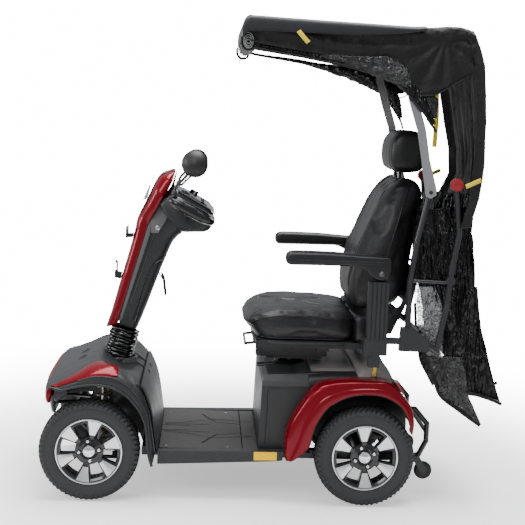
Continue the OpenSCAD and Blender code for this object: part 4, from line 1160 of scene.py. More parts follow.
def slanted(degrees):
    """Directions along and square to a surface that falls to the rear by so many degrees."""
    slope = math.radians(degrees)
    return (Vector((math.cos(slope), 0, -math.sin(slope))),
            Vector((math.sin(slope), 0, math.cos(slope))))


def console():
    """Console with its panel, screen and buttons."""
    outline = smooth_line([(-0.380, 0.990), (-0.347, 1.018), (-0.318, 1.006), (-0.270, 0.980),
                           (-0.222, 0.953), (-0.211, 0.940), (-0.210, 0.918),
                           (-0.215, 0.893), (-0.234, 0.871), (-0.275, 0.867),
                           (-0.316, 0.867), (-0.340, 0.888), (-0.358, 0.908),
                           (-0.386, 0.944), (-0.392, 0.965), (-0.380, 0.990)], 70)[:-1]
    cx, cz = -0.300, 0.940
    rows = []
    for y in np.linspace(-1, 1, 49):
        d = max(0.0, (abs(y) - 0.80) / 0.20)
        shrink = 1 - 0.16 * d ** 2.2
        belly = 1 - 0.10 * abs(y) ** 2
        rows.append([(cx + (x - cx) * shrink, 0.124 * y,
                      cz + (z - cz) * shrink * (belly if z < cz else 1)) for x, z in outline])
    obj = grid("console_shell", rows, wrap_v=True, caps=True)
    fix_normals(obj)
    sharp_by_angle(obj, 45)
    for mat in ("plastic", "gloss"):
        obj.data.materials.append(M[mat])
    for poly in obj.data.polygons:
        x, _, z = poly.center
        top = 1.018 - (x + 0.347) * 0.545
        poly.material_index = 1 if z > top - 0.046 else 0
    done(obj, "tiller", None, ["console"])
    ahead, rise = slanted(28.5)
    base = Vector((-0.283, 0, 0.9846))

    def slab(name, u, v, w, h, thick, mat, lift=0.001):
        """Block on the panel, u behind its middle and v across."""
        verts = []
        for du, dv, dw in itertools.product((-1, 1), (-1, 1), (0, 1)):
            p = base + ahead * (u + du * w / 2) + rise * (lift + dw * thick)
            verts.append((p.x, v + dv * h / 2, p.z))
        faces = [(0, 1, 3, 2), (4, 6, 7, 5), (0, 4, 5, 1), (2, 3, 7, 6), (1, 5, 7, 3),
                 (0, 2, 6, 4)]
        piece = new_mesh(name, verts, faces)
        fix_normals(piece)
        bevel(piece, min(0.003, thick * 0.45), 3)
        done(piece, "tiller", mat)

    slab("dash_panel", 0.004, 0, 0.100, 0.19, 0.0035, "gloss")
    slab("dash_screen", -0.018, 0, 0.034, 0.060, 0.0018, "screen", 0.0040)
    for i, y in enumerate((-0.085, -0.030, 0.030, 0.085)):
        slab("dash_button_%d" % i, 0.036, y, 0.013, 0.022, 0.0030, "rubber", 0.0040)


def grips():
    """Bowed rubber sleeves on the loop handles."""
    ahead, rise = slanted(27)
    for tag, side in SIDES:
        middle = Vector((-0.285, side * 0.266, 0.9575))
        rows = []
        for f in np.linspace(-1, 1, 41):
            size = 1 - 0.25 * abs(f) ** 8
            bow = -0.012 * f * f
            rows.append([middle + ahead * (0.066 * f) + rise * (0.0205 * size * math.sin(a))
                         + Vector((0, side * (bow + 0.0185 * size * math.cos(a)), 0))
                         for a in turns(32)])
        sleeve = grid("grip_sleeve_" + tag, rows, wrap_v=True, caps=True)
        fix_normals(sleeve)
        done(sleeve, "tiller", "grip")


def mirrors():
    """Round mirrors on two thin stems, turned half towards the rider."""
    look = math.radians(58)
    for tag, side in SIDES:
        centre = Vector((-0.281, side * 0.286, 1.107 if side < 0 else 1.094))
        face = Vector((math.cos(look), -side * math.sin(look), 0))
        flat = face.cross(UP).normalized()

        def disc(name, profile, mat):
            """Slightly egg-shaped rings of (radius, offset) about the mirror's axis."""
            rings = []
            for r, o in profile:
                ring = []
                for a in turns(48):
                    squeeze = 1.03 + 0.05 * math.cos(2 * a) + 0.06 * math.sin(a)
                    ring.append(centre + face * o + flat * (r * squeeze * math.cos(a))
                                + UP * (r * squeeze * math.sin(a)))
                rings.append(ring)
            return coloured(grid(name, rings, wrap_v=True), mat)

        back = disc("mirror_back", [(0.0, -0.0262), (0.012, -0.0250), (0.024, -0.0205),
                                    (0.034, -0.0130), (0.0415, -0.003), (0.0445, 0.004),
                                    (0.0445, 0.0105), (0.0425, 0.0115), (0.0405, 0.0100)],
                    "rubber")
        pane = disc("mirror_pane", [(r, 0.0100) for r in (0.0405, 0.030, 0.015, 0.0)], "glass")
        stem_path = smooth_line([(-0.340, side * 0.259, 1.018), (-0.334, side * 0.262, 1.036),
                                 (-0.312, side * 0.274, 1.060), (-0.300, side * 0.283, 1.074)],
                                20)
        stem = coloured(tube("mirror_stem", stem_path, 0.0048), "gloss")
        twin_path = [(x + 0.017, y, z + 0.004) for x, y, z in stem_path[4:]]
        twin = coloured(tube("mirror_stem", twin_path, 0.0036), "gloss")
        base = lathe_z("mirror_base", [(0.0042, 0.0), (0.010, 0.0), (0.0105, 0.004),
                                       (0.0090, 0.015), (0.006, 0.018), (0.0, 0.019)],
                       (-0.340, side * 0.259, 1.004), 32)
        coloured(base, "plastic")
        obj = join("mirror_" + tag + "_unit", [back, pane, stem, twin, base])
        fix_normals(obj)
        sharp_by_angle(obj, 45)
        done(obj, "glass_" + tag, None, ["mirror_" + tag])


# ---------------------------------------------------------------- seat
def inflate(obj, voxel, pressure, cap):
    """Puffs a cushion with the cloth simulation and caps how far each point moves."""
    modifier(obj, "REMESH", mode="VOXEL", voxel_size=voxel, use_smooth_shade=True)
    apply_modifiers(obj)
    rest = np.array([v.co for v in obj.data.vertices])
    cloth = obj.modifiers.new("cloth", "CLOTH")
    s = cloth.settings
    s.use_pressure = True
    s.uniform_pressure_force = pressure
    s.quality = 4
    s.mass = 0.35
    s.tension_stiffness = 40
    s.compression_stiffness = 40
    s.shear_stiffness = 12
    s.bending_stiffness = 3
    s.effector_weights.gravity = 0.0
    cloth.collision_settings.use_collision = False
    cloth.point_cache.frame_start = 1
    cloth.point_cache.frame_end = 20
    scene = bpy.context.scene
    for f in range(1, 19):
        scene.frame_set(f)
    deps = bpy.context.evaluated_depsgraph_get()
    mesh = bpy.data.meshes.new_from_object(obj.evaluated_get(deps))
    moved = np.array([v.co for v in mesh.vertices])
    step = moved - rest
    far = np.linalg.norm(step, axis=1)
    scale = np.where(far > cap, cap / np.maximum(far, 1e-9), 1.0)
    moved = rest + step * scale[:, None]
    obj.modifiers.clear()
    obj.data = mesh
    for v, co in zip(mesh.vertices, moved):
        v.co = co
    mesh.update()
    scene.frame_set(1)
    modifier(obj, "SMOOTH", factor=0.5, iterations=3)
    subdivide(obj, 1)
    apply_modifiers(obj)
    obj.data.shade_smooth()


def press_lines(obj, lines, width, depth, direction):
    """Sinks sewn lines into a cushion: each point near a line moves along direction."""
    d = np.array(direction, float)
    for v in obj.data.vertices:
        co = np.array(v.co)
        near = 1e9
        for line in lines:
            seg = line[1:] - line[:-1]
            rel = co - line[:-1]
            t = np.clip((rel * seg).sum(1) / (seg * seg).sum(1), 0, 1)
            near = min(near, np.linalg.norm(rel - seg * t[:, None], axis=1).min())
        if near < width * 2.5:
            v.co = co + d * depth * math.exp(-(near / width) ** 2)


def rounded_block(name, x0, x1, half, z0, z1):
    """Closed block with a rounded plan and softened edges."""
    cx, w = (x0 + x1) / 2, (x1 - x0) / 2
    power = 2 / 5.0
    rows = []
    for scale, f in ((0.0, 0.0), (0.90, 0.0), (0.97, 0.02), (1.0, 0.12), (1.0, 0.5),
                     (1.0, 0.80), (0.985, 0.92), (0.95, 1.0), (0.80, 1.0), (0.45, 1.0),
                     (0.0, 1.0)):
        rows.append([(cx + boxy(math.cos(a), power) * w * scale,
                      boxy(math.sin(a), power) * half * scale, z0 + (z1 - z0) * f)
                     for a in turns(80)])
    return grid(name, rows, wrap_v=True)


SEAM_HEIGHT = [(-0.104, 0.582), (-0.085, 0.596), (-0.050, 0.609), (0.000, 0.616),
               (0.060, 0.617), (0.150, 0.615), (0.292, 0.608)]


def cord_round(obj, name, body, rays, radius):
    """Closed loop of piping laid on a pad where the rays meet it."""
    points = resample(ray_points(obj, rays, radius * 0.3), 120)[:-1]
    done(tube(name, points, radius, 8, closed=True), body, "piping")


def seat():
    """Seat cushion: domed top over a seam, tall side panel and a front that leans back."""
    low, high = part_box("seat_cushion")
    cx, w, half = (low[0] + high[0]) / 2, (high[0] - low[0]) / 2, high[1] - 0.006
    layers = [(0.0, 0.0), (0.90, 0.0), (0.965, 0.05), (0.990, 0.25), (1.0, 0.55), (1.003, 0.85),
              (0.995, 1.0), (0.975, 1.12), (0.930, 1.21), (0.84, 1.28), (0.66, 1.34),
              (0.40, 1.38), (0.0, 1.40)]

    def ring_point(a, scale, f):
        c, s = math.cos(a), math.sin(a)
        p = 2 / (3.4 if c < 0 else 5.5)
        x = boxy(c, p) * w * scale
        y = boxy(s, 2 / 4.4) * half * scale
        seam = ramp(cx + x, SEAM_HEIGHT)
        z = low[2] + 0.004 + (seam - low[2] - 0.004) * min(f, 1.0)
        z += 0.042 * max(0.0, f - 1.0)
        nose = max(0.0, -x / w) ** 3
        return (cx + x + 0.036 * nose * (1 - min(1.0, f)), y, z)

    cushion = grid("seat_pad", [[ring_point(a, scale, f) for a in turns(88)]
                                for scale, f in layers], wrap_v=True)
    fix_normals(cushion)
    inflate(cushion, 0.007, 3.0, 0.006)
    button = np.array((0.060, 0.0, 0.632))
    arms = []
    for a in (0.50, 2.45, 3.85, 5.60):
        arms.append(np.array([button + np.array((r * math.cos(a), r * math.sin(a), 0.0))
                              for r in np.linspace(0, 0.13, 6)]))
    press_lines(cushion, arms, 0.008, 0.008, (0, 0, -1))
    for v in cushion.data.vertices:
        d = math.hypot(v.co.x - button[0], v.co.y)
        if v.co.z > 0.59:
            v.co.z -= 0.012 * math.exp(-(d / 0.022) ** 2)
            v.co.z += 0.0020 * hash_noise(v.co, 22, 3.0)
    cushion.data.shade_smooth()
    done(cushion, "seat", "vinyl", ["seat_cushion"])
    for name, f, radius in (("seat_piping_top", 1.0, 0.0034), ("seat_piping_base", 0.06, 0.003)):
        rays = []
        for a in np.linspace(0, 2 * math.pi, 160):
            x, y, z = ring_point(a, 1.15, f)
            rays.append(((x, y, z), (cx - x, -y, 0)))
        cord_round(cushion, name, "seat", rays, radius)
    tray = rounded_block("seat_tray", -0.066, 0.300, 0.226, 0.5165, 0.5325)
    done(tray, "seat", "plastic")
    rear = rounded_block("seat_rear_cover", 0.262, 0.338, 0.238, 0.534, 0.622)
    done(rear, "seat", "vinyl")


BACK_STEPS = 60
BACK_FRONT = smooth_line([(0.262, 0.642), (0.250, 0.668), (0.250, 0.735), (0.268, 0.812),
                          (0.294, 0.880), (0.328, 0.955), (0.358, 1.022), (0.378, 1.056),
                          (0.405, 1.078), (0.424, 1.084)], BACK_STEPS)
BACK_REAR = smooth_line([(0.330, 0.640), (0.412, 0.660), (0.446, 0.725), (0.455, 0.815),
                         (0.463, 0.880), (0.473, 0.960), (0.484, 1.010), (0.488, 1.046),
                         (0.470, 1.074), (0.444, 1.084)], BACK_STEPS)


def backrest():
    """Backrest cushion with side bolsters, sewn lines and piping."""
    def half_width(f):
        return ramp(f, [(0, 0.196), (0.10, 0.216), (0.30, 0.226), (0.55, 0.226),
                        (0.75, 0.214), (0.90, 0.190), (1.0, 0.150)])

    rows = []
    for k, (front, rear) in enumerate(zip(BACK_FRONT, BACK_REAR)):
        f = k / (BACK_STEPS - 1)
        w = half_width(f)
        mid = (front + rear) / 2
        half_x, half_z = (rear - front) / 2
        ring = []
        for a in turns(72):
            c, s = math.cos(a), math.sin(a)
            p = 2 / 4.6
            e = boxy(c, p)
            y = boxy(s, p) * w
            bolster = 0.0
            if e < 0:
                bolster = 0.020 * (1 - min(1.0, abs(y) / (w * 0.62)) ** 3)
                bolster *= math.sin(math.pi * min(1, f * 1.1)) ** 0.5
            x = mid[0] + half_x * 0.97 * e + bolster * 0.6
            z = mid[1] + half_z * e
            ring.append((x, y * 0.985, z))
        rows.append(ring)
    pad = grid("backrest_pad", rows, wrap_v=True, caps=True)
    fix_normals(pad)
    inflate(pad, 0.008, 3.0, 0.008)
    seams = []
    for side in (-1, 1):
        line = []
        for k in range(3, 58):
            f = k / (BACK_STEPS - 1)
            w = half_width(f) * ramp(f, [(0, 0.66), (0.3, 0.60), (0.7, 0.58), (1, 0.55)])
            line.append((BACK_FRONT[k][0] + 0.006, side * w, BACK_FRONT[k][1]))
        seams.append(np.array(line))
    press_lines(pad, seams, 0.009, 0.010, (0.93, 0, -0.2))
    smile = np.array([(0.266, y, 0.800 + 0.030 * (abs(y) / 0.075) ** 2)
                      for y in np.linspace(-0.075, 0.075, 18)])
    press_lines(pad, [smile], 0.007, 0.011, (0.9, 0, -0.3))
    for v in pad.data.vertices:
        v.co.x += 0.0018 * hash_noise(v.co, 15, 9.0)
    pad.data.shade_smooth()
    done(pad, "back", "vinyl", ["backrest_cushion"])
    for (tag, side), line in zip(SIDES, seams):
        rays = [((x - 0.2, y, z), (1, 0, 0)) for x, y, z in line]
        cord("back_piping_" + tag, resample(ray_points(pad, rays, 0.0005), 60), 0.0030,
             "back", "piping")
        rays = []
        for front, rear in zip(BACK_FRONT[4:58], BACK_REAR[4:58]):
            x, z = front + (rear - front) * 0.50
            rays.append(((x, side * 0.35, z), (0, -side, 0)))
        cord("back_side_piping_" + tag, resample(ray_points(pad, rays, 0.0004), 60), 0.0026,
             "back", "piping")


def head_rest():
    """Headrest pad with two sewn lines round it, on chrome rods."""
    cx, cz = 0.425, 1.168
    outline = smooth_line([(0.366, 1.110), (0.358, 1.140), (0.358, 1.180), (0.367, 1.212),
                           (0.390, 1.235), (0.428, 1.2425), (0.464, 1.236), (0.486, 1.212),
                           (0.4935, 1.168), (0.490, 1.126), (0.476, 1.103), (0.430, 1.095),
                           (0.388, 1.098), (0.366, 1.110)], 60)[:-1]
    rows = []
    for y in np.linspace(-1, 1, 45):
        d = max(0.0, (abs(y) - 0.70) / 0.30)
        shrink = math.sqrt(max(0.0, 1 - d ** 2.4)) * 0.5 + 0.5
        rows.append([(cx + 0.014 + (x - cx) * shrink * 0.90, 0.131 * y,
                      cz + (z - cz) * shrink * 0.97) for x, z in outline])
    pad = grid("headrest_pad", rows, wrap_v=True, caps=True)
    fix_normals(pad)
    inflate(pad, 0.006, 3.0, 0.006)
    for v in pad.data.vertices:
        for seam in (-0.086, 0.086):
            sink = 0.0045 * math.exp(-(abs(v.co.y - seam) / 0.004) ** 2)
            away = Vector((v.co.x - cx, 0, v.co.z - cz))
            if sink > 1e-5 and away.length > 0.02:
                v.co -= away.normalized() * sink
    pad.data.shade_smooth()
    done(pad, "head", "vinyl", ["headrest"])
    for tag, side in SIDES:
        cord("headrest_rod_" + tag, [(0.422, side * 0.05, 0.96), (0.422, side * 0.05, 1.13)],
             0.006, "head", "chrome", 20)


def armrests():
    """Armrest pads with a seam along each side, a lug and its bolt."""
    cx, cy, cz = 0.193, 0.305, 0.818
    for tag, side in SIDES:
        body = "arm_" + tag
        outline = smooth_line([(0.030, 0.800), (0.0245, 0.812), (0.025, 0.830),
                               (0.036, 0.842), (0.070, 0.8445), (0.180, 0.8435),
                               (0.270, 0.838), (0.340, 0.8345), (0.358, 0.828),
                               (0.362, 0.812), (0.354, 0.800), (0.330, 0.799),
                               (0.250, 0.799), (0.120, 0.798), (0.045, 0.7975),
                               (0.030, 0.800)], 72)[:-1]
        rows = []
        for y in np.linspace(-1, 1, 25):
            d = abs(y) ** 3.2
            rows.append([(cx + (x - cx) * (1 - 0.035 * d), side * (cy + 0.0295 * y),
                          cz + (z - cz) * (1 - 0.42 * d)) for x, z in outline])
        pad = grid("armrest_pad_" + tag, rows, wrap_v=True, caps=True)
        fix_normals(pad)
        subdivide(pad, 1)
        apply_modifiers(pad)
        pad.data.shade_smooth()
        done(pad, body, "armpad", ["armrest_" + tag])
        seams = []
        for y in (-1, 1):
            edge = [(x, side * (cy + 0.0297 * y), 0.8165) for x in
                    np.linspace(0.045, 0.345, 30)]
            seams.append(tube("pad_seam", edge, 0.0012, 6))
        seam = join("armrest_seam_" + tag, seams)
        done(seam, body, "piping")
        lug = prism("armrest_lug_" + tag,
                    [(0.200, 0.812), (0.232, 0.802), (0.262, 0.797), (0.288, 0.786),
                     (0.304, 0.768), (0.322, 0.757), (0.344, 0.755), (0.358, 0.764),
                     (0.366, 0.786), (0.366, 0.826), (0.352, 0.832), (0.260, 0.834)],
                    side * 0.2850, side * 0.3335)
        bevel(lug, 0.006, 4, 25)
        done(lug, body, "armpad")
        head = lathe("armrest_bolt_" + tag, [(0.0, 0.0030), (0.004, 0.0030), (0.0046, 0.0012),
                                             (0.0078, 0.0012), (0.0088, 0.0)],
                     (0.336, side * 0.3335, 0.778), steps=24, flip=side)
        done(head, body, "metal")


# ---------------------------------------------------------------- canopy
ROOF_TOP = [(-0.138, 1.551), (-0.135, 1.567), (-0.128, 1.577), (-0.115, 1.5825),
            (0.120, 1.575), (0.300, 1.570), (0.400, 1.567), (0.460, 1.571), (0.511, 1.576),
            (0.550, 1.575), (0.580, 1.567), (0.604, 1.550)]
ROOF_LOW = [(-0.138, 1.512), (-0.085, 1.497), (0.035, 1.481), (0.184, 1.463),
            (0.310, 1.440), (0.360, 1.422), (0.397, 1.388), (0.430, 1.352), (0.480, 1.356),
            (0.540, 1.392), (0.600, 1.430)]
ROLL_PATH = [(-0.104, 1.493), (-0.060, 1.484), (0.035, 1.473), (0.110, 1.463),
             (0.184, 1.453), (0.250, 1.442), (0.316, 1.431), (0.360, 1.410), (0.400, 1.372),
             (0.445, 1.316), (0.478, 1.262)]
ROLL_SIZE = [0.008, 0.009, 0.011, 0.013, 0.015, 0.018, 0.022, 0.024, 0.022, 0.015, 0.008]
REAR_CORNER = (0.500, 1.535)


def roof_sides(x, z):
    """How far a hanging side bulges: long folds at the front, folds fanned from the rear."""
    dx, dz = x - REAR_CORNER[0], z - REAR_CORNER[1]
    reach = math.hypot(dx, dz)
    angle = math.atan2(dz, dx)
    fan = math.sin(13 * angle + 2.0 * hash_noise((x, z, 0), 5, 1.0))
    fan *= min(1.0, reach / 0.06) * max(0.0, 1 - reach / 0.34)
    long_fold = math.sin(95 * (z + 0.14 * x) + 5.0 * hash_noise((x, z * 2, 3), 3.0, 4.0))
    long_fold *= max(0.0, min(1.0, (0.42 - x) / 0.15))
    rough = hash_noise((x, z, 1), 16, 2.0) + 0.5 * hash_noise((x, z, 2), 37, 6.0)
    return 0.0052 * fan + 0.0038 * long_fold + 0.0030 * rough


def roof():
    """One continuous cloth roof whose sides hang down over the frame, with soft folds."""
    steps = list(np.linspace(-0.138, -0.115, 8)) + list(np.linspace(-0.110, 0.600, 124))
    flat, across = 0.62, 100
    rows = []
    for x in steps:
        top = ramp(x, ROOF_TOP)
        row = []
        for v in np.linspace(-1, 1, across):
            side = math.copysign(1, v)
            a = abs(v)
            low = ramp(x, ROOF_LOW) + (0.014 if side > 0 else 0.0)
            if a < flat:
                y = ROOF_Y * a / flat * 0.955
                bar = math.cos(2 * math.pi * (x - 0.588) / 0.2333)
                sag = 0.0045 * (1 - bar) * math.cos(math.pi * y / 0.68)
                z = top - 0.003 * (a / flat) ** 6 - sag
                z += 0.0020 * hash_noise((x, y * side, 0.5), 9, 2.0)
            else:
                f = (a - flat) / (1 - flat)
                shoulder = math.sin(min(1.0, f / 0.10) * math.pi / 2)
                z = top - 0.003 - (top - 0.003 - low) * f ** 1.1
                y = ROOF_Y * (0.955 + 0.028 * shoulder)
                y += roof_sides(x, z) * min(1.0, f * 5) - 0.002
            row.append((x, side * min(y, 0.3395), z))
        rows.append(row)
    obj = grid("roof_cloth", rows)
    hem_low = [row[0] for row in rows[8:-2]]
    thicken(obj, 0.0014, -1)
    apply_modifiers(obj)
    fix_normals(obj)
    obj.data.shade_smooth()
    done(obj, "canopy", "cloth", ["canopy_roof"])
    for tag, side in SIDES:
        band(tag, side)
        line = [(p[0], side * (abs(p[1]) + 0.001), p[2]) for p in hem_low]
        cord("roof_hem_" + tag, resample(line, 90), 0.0028, "canopy", "hem", 6)
    rows = []
    for y in np.linspace(-0.331, 0.331, 40):
        rows.append([(-0.1375, y, 1.512), (-0.1395, y, 1.532), (-0.1390, y, 1.550),
                     (-0.1355, y, 1.568), (-0.128, y, 1.579), (-0.112, y, 1.5845)])
    front = grid("roof_front_flap", rows)
    thicken(front, 0.002, 0)
    subdivide(front, 1)
    done(front, "canopy", "band")


def band(tag, side):
    """Smooth edge band along the roof: rounded at the front, tapering out at the rear."""
    rows = []
    for x in list(np.linspace(-0.1378, -0.112, 9)) + list(np.linspace(-0.105, 0.440, 70)):
        top = ramp(x, ROOF_TOP) + 0.0008
        depth = ramp(x, [(-0.138, 0.040), (0.0, 0.036), (0.25, 0.028), (0.36, 0.016),
                         (0.440, 0.003)])
        wave = 0.0010 * hash_noise((x, side, 0), 18, 1.0)
        low = min(top, 1.582) - 0.010 - depth + 0.0015 * hash_noise((x, side, 4), 11, 1.0)
        rows.append([(x, side * 0.296, top), (x, side * 0.320, top - 0.0005),
                     (x, side * 0.3345, top - 0.004), (x, side * (0.3395 + wave), top - 0.011),
                     (x, side * (0.3400 + wave), (top + low) / 2),
                     (x, side * (0.3392 + wave), low)])
    obj = grid("roof_band_" + tag, rows)
    fix_normals(obj)
    thicken(obj, 0.0020, 0)
    subdivide(obj, 1)
    done(obj, "canopy", "band")
    cord("band_stitch_" + tag, [row[-1] for row in rows], 0.0014, "canopy",
         "hem", 6)


def crumpled_roll(name, path, radii, mat, squash, seed, rough):
    """Loosely rolled film: a lumpy tube with deep irregular creases."""
    pts = smooth_line(path, 150)
    size = np.interp(np.linspace(0, 1, 150), np.linspace(0, 1, len(radii)), radii)
    obj = tube(name, pts, size, 48)
    for v in obj.data.vertices:
        base = v.co.copy()
        near = pts[np.argmin(((pts - np.array(base)) ** 2).sum(1))]
        away = base - Vector(near)
        lump = (hash_noise(base, 14, seed) * 0.6 + abs(hash_noise(base, 34, seed + 4)) * 0.5
                - abs(hash_noise(base, 70, seed + 8)) * 0.45)
        v.co = Vector(near) + Vector((away.x, away.y * squash, away.z)) * (1 + rough * lump)
    obj.data.shade_smooth()
    done(obj, "canopy", mat)


def strap(name, points, width, body, sideways):
    """Flat yellow webbing along points."""
    w = Vector(sideways).normalized() * width / 2
    rows = [[Vector(p) - w, Vector(p) - w * 0.3, Vector(p) + w * 0.3, Vector(p) + w]
            for p in smooth_line(points, 40)]
    obj = grid(name, rows)
    thicken(obj, 0.0016, 0)
    apply_modifiers(obj)
    fix_normals(obj)
    done(obj, body, "webbing")


def canopy_film():
    """Rolled side and front windows with their bindings and straps."""
    for tag, side in SIDES:
        slim = 1.0 if side < 0 else 0.6
        path = [(x, side * 0.320, z + 0.02 * (1 - slim)) for x, z in ROLL_PATH]
        crumpled_roll("window_roll_" + tag, path, [r * slim for r in ROLL_SIZE], "film_dark",
                      0.5, side * 3.0, 0.5)
        path = [(x, side * 0.3275, z + 0.004) for x, z in ROLL_PATH[3:9]]
        crumpled_roll("window_bunch_" + tag, path,
                      [0.004, 0.009, 0.014, 0.020, 0.030, 0.032, 0.026, 0.012],
                      "film_sparkle", 0.24, side * 6.0, 0.6)
        path = [(x, side * 0.312, z) for x, z in ((0.405, 1.400), (0.440, 1.370),
                                                  (0.462, 1.325), (0.476, 1.280))]
        crumpled_roll("window_corner_" + tag, path,
                      [r * slim for r in (0.010, 0.024, 0.026, 0.012)],
                      "film_sparkle", 0.25, side * 9.0, 0.5)
        line = [(x, side * 0.327, z + 0.03 * (1 - slim) - r * slim * 1.02)
                for (x, z), r in zip(ROLL_PATH, ROLL_SIZE)]
        line.append((0.488, side * 0.325, 1.240))
        cord("window_hem_" + tag, smooth_line(line, 90), 0.0040, "canopy",
             "hem")
        strap("roof_strap_" + tag,
              [(0.034, side * 0.3405, 1.538), (0.044, side * 0.3412, 1.527),
               (0.055, side * 0.3412, 1.515), (0.067, side * 0.3405, 1.503)],
              0.014, "canopy", (0.8, 0, 0.55))
    front = [(-0.112, y, 1.503 + 0.002 * math.sin(9 * y)) for y in
             np.linspace(-0.316, 0.316, 14)]
    crumpled_roll("front_window_roll", front, [0.018, 0.023, 0.025, 0.024, 0.025, 0.024,
                  0.024, 0.018], "film_dark", 1.0, 11.0, 0.22)
    for tag, side in SIDES:
        wound = np.linspace(0, 7 * math.pi, 120)
        spiral = [(-0.121 + (0.003 + 0.0150 * a / wound[-1]) * math.cos(a),
                   1.502 + (0.004 + 0.0235 * a / wound[-1]) * math.sin(a)) for a in wound]
        rows = [[(x, side * 0.3165, z), (x, side * 0.3290, z)] for x, z in spiral]
        end = grid("front_roll_end_" + tag, rows)
        thicken(end, 0.0022, 0)
        done(end, "canopy", "film_pale")
        under = [(-0.141, 1.515), (-0.139, 1.490), (-0.126, 1.476), (-0.106, 1.479),
                 (-0.098, 1.490)]
        cord("front_roll_binding_" + tag,
             smooth_line([(x, side * 0.326, z) for x, z in under], 40), 0.0042, "canopy",
             "hem")


REAR_EDGE = [(1.566, 0.596), (1.548, 0.608), (1.500, 0.628), (1.454, 0.643), (1.280, 0.654),
             (1.126, 0.654), (1.031, 0.649), (0.940, 0.626), (0.885, 0.641), (0.724, 0.667), (0.642, 0.679),
             (0.481, 0.720), (0.380, 0.755)]
FAR_EDGE = [(1.566, 0.596), (1.548, 0.608), (1.500, 0.628), (1.265, 0.676), (1.175, 0.700),
            (1.084, 0.706), (1.014, 0.672), (0.940, 0.628)]
FILM_FAR_EDGE = [(1.035, 0.585), (0.900, 0.560), (0.800, 0.556), (0.700, 0.578),
                 (0.600, 0.598), (0.520, 0.622), (0.440, 0.660), (0.380, 0.700)]


def along(z, table):
    """x of an edge, given as (z, x) points, at height z."""
    pairs = sorted(table)
    return float(np.interp(z, [p[0] for p in pairs], [p[1] for p in pairs]))


def back_sheet(name, far, top, bottom, half, columns, layers, amp, folds, seed, crinkle=0.0,
               returns=0.0):
    """Hanging sheet across the back; x follows the measured near and far edges."""
    rows = []
    for h in np.linspace(0, 1, layers):
        row = []
        for v in np.linspace(-1, 1, columns):
            z = top(v) + (bottom(v) - top(v)) * h
            share = 0.5 + 0.5 * v
            x = along(z, REAR_EDGE) * (1 - share) + along(z, far) * share
            grow = 0.35 + 0.65 * math.sin(math.pi * min(1.0, h * 0.9 + 0.1))
            phase = folds * v + seed
            drift = 1.6 * hash_noise((v * 2, h * 1.5, seed), 2, seed)
            fold = (0.55 * math.sin(phase + drift) + 0.30 * math.sin(2.3 * phase + 2 * drift)
                    + 0.8 * hash_noise((v * 3, h * 1.2, seed), 3, seed))
            if crinkle:
                fine = abs(hash_noise((v * 9, h * 1.8, seed), 2.4, seed + 2))
                fine += 0.6 * abs(hash_noise((v * 20, h * 5, seed), 2.2, seed + 5))
                fold += crinkle * (fine - 0.45)
            x += amp * (grow * fold - 0.8)
            edge = max(0.0, (abs(v) - (1 - returns)) / returns) if returns else 0.0
            x -= edge * 0.030
            y = half * v * (1 - 0.02 * h) + 0.3 * amp * grow * math.cos(phase)
            row.append((x, max(-half, min(half, y)), z))
        rows.append(row)
    return grid(name, rows)


def side_flap(name, side, near, y, columns, layers, seed, amp):
    """Film flap between two leaning edges given as (x, z) pairs, left and right."""
    left, right = near
    a, b = smooth_line(left, layers), smooth_line(right, layers)
    rows = []
    for i in range(layers):
        row = []
        for j in range(columns):
            f = j / (columns - 1)
            p = a[i] * (1 - f) + b[i] * f
            lump = (hash_noise((p[0], 0, p[1] * 0.35), 24, seed)
                    + 0.7 * abs(hash_noise((p[0], 1, p[1] * 0.4), 55, seed + 3))
                    + 0.3 * abs(hash_noise((p[0], 2, p[1] * 0.6), 110, seed + 5)))
            row.append((p[0], side * (y + amp * lump), p[1]))
        rows.append(row)
    return grid(name, rows)


def as_cloth(obj, mat, columns, layers):
    """Finishes a sheet: thickness, smooth shading and material."""
    co = np.array([v.co for v in obj.data.vertices]).reshape(layers, columns, 3)
    thicken(obj, 0.0010, 0)
    apply_modifiers(obj)
    fix_normals(obj)
    obj.data.shade_smooth()
    coloured(obj, mat)


def gathered(line, share):
    """Edge points of (x, z) drawn together towards the middle of the flaps."""
    middle = 0.62
    return [(middle + (x - middle) * share, z) for x, z in line]


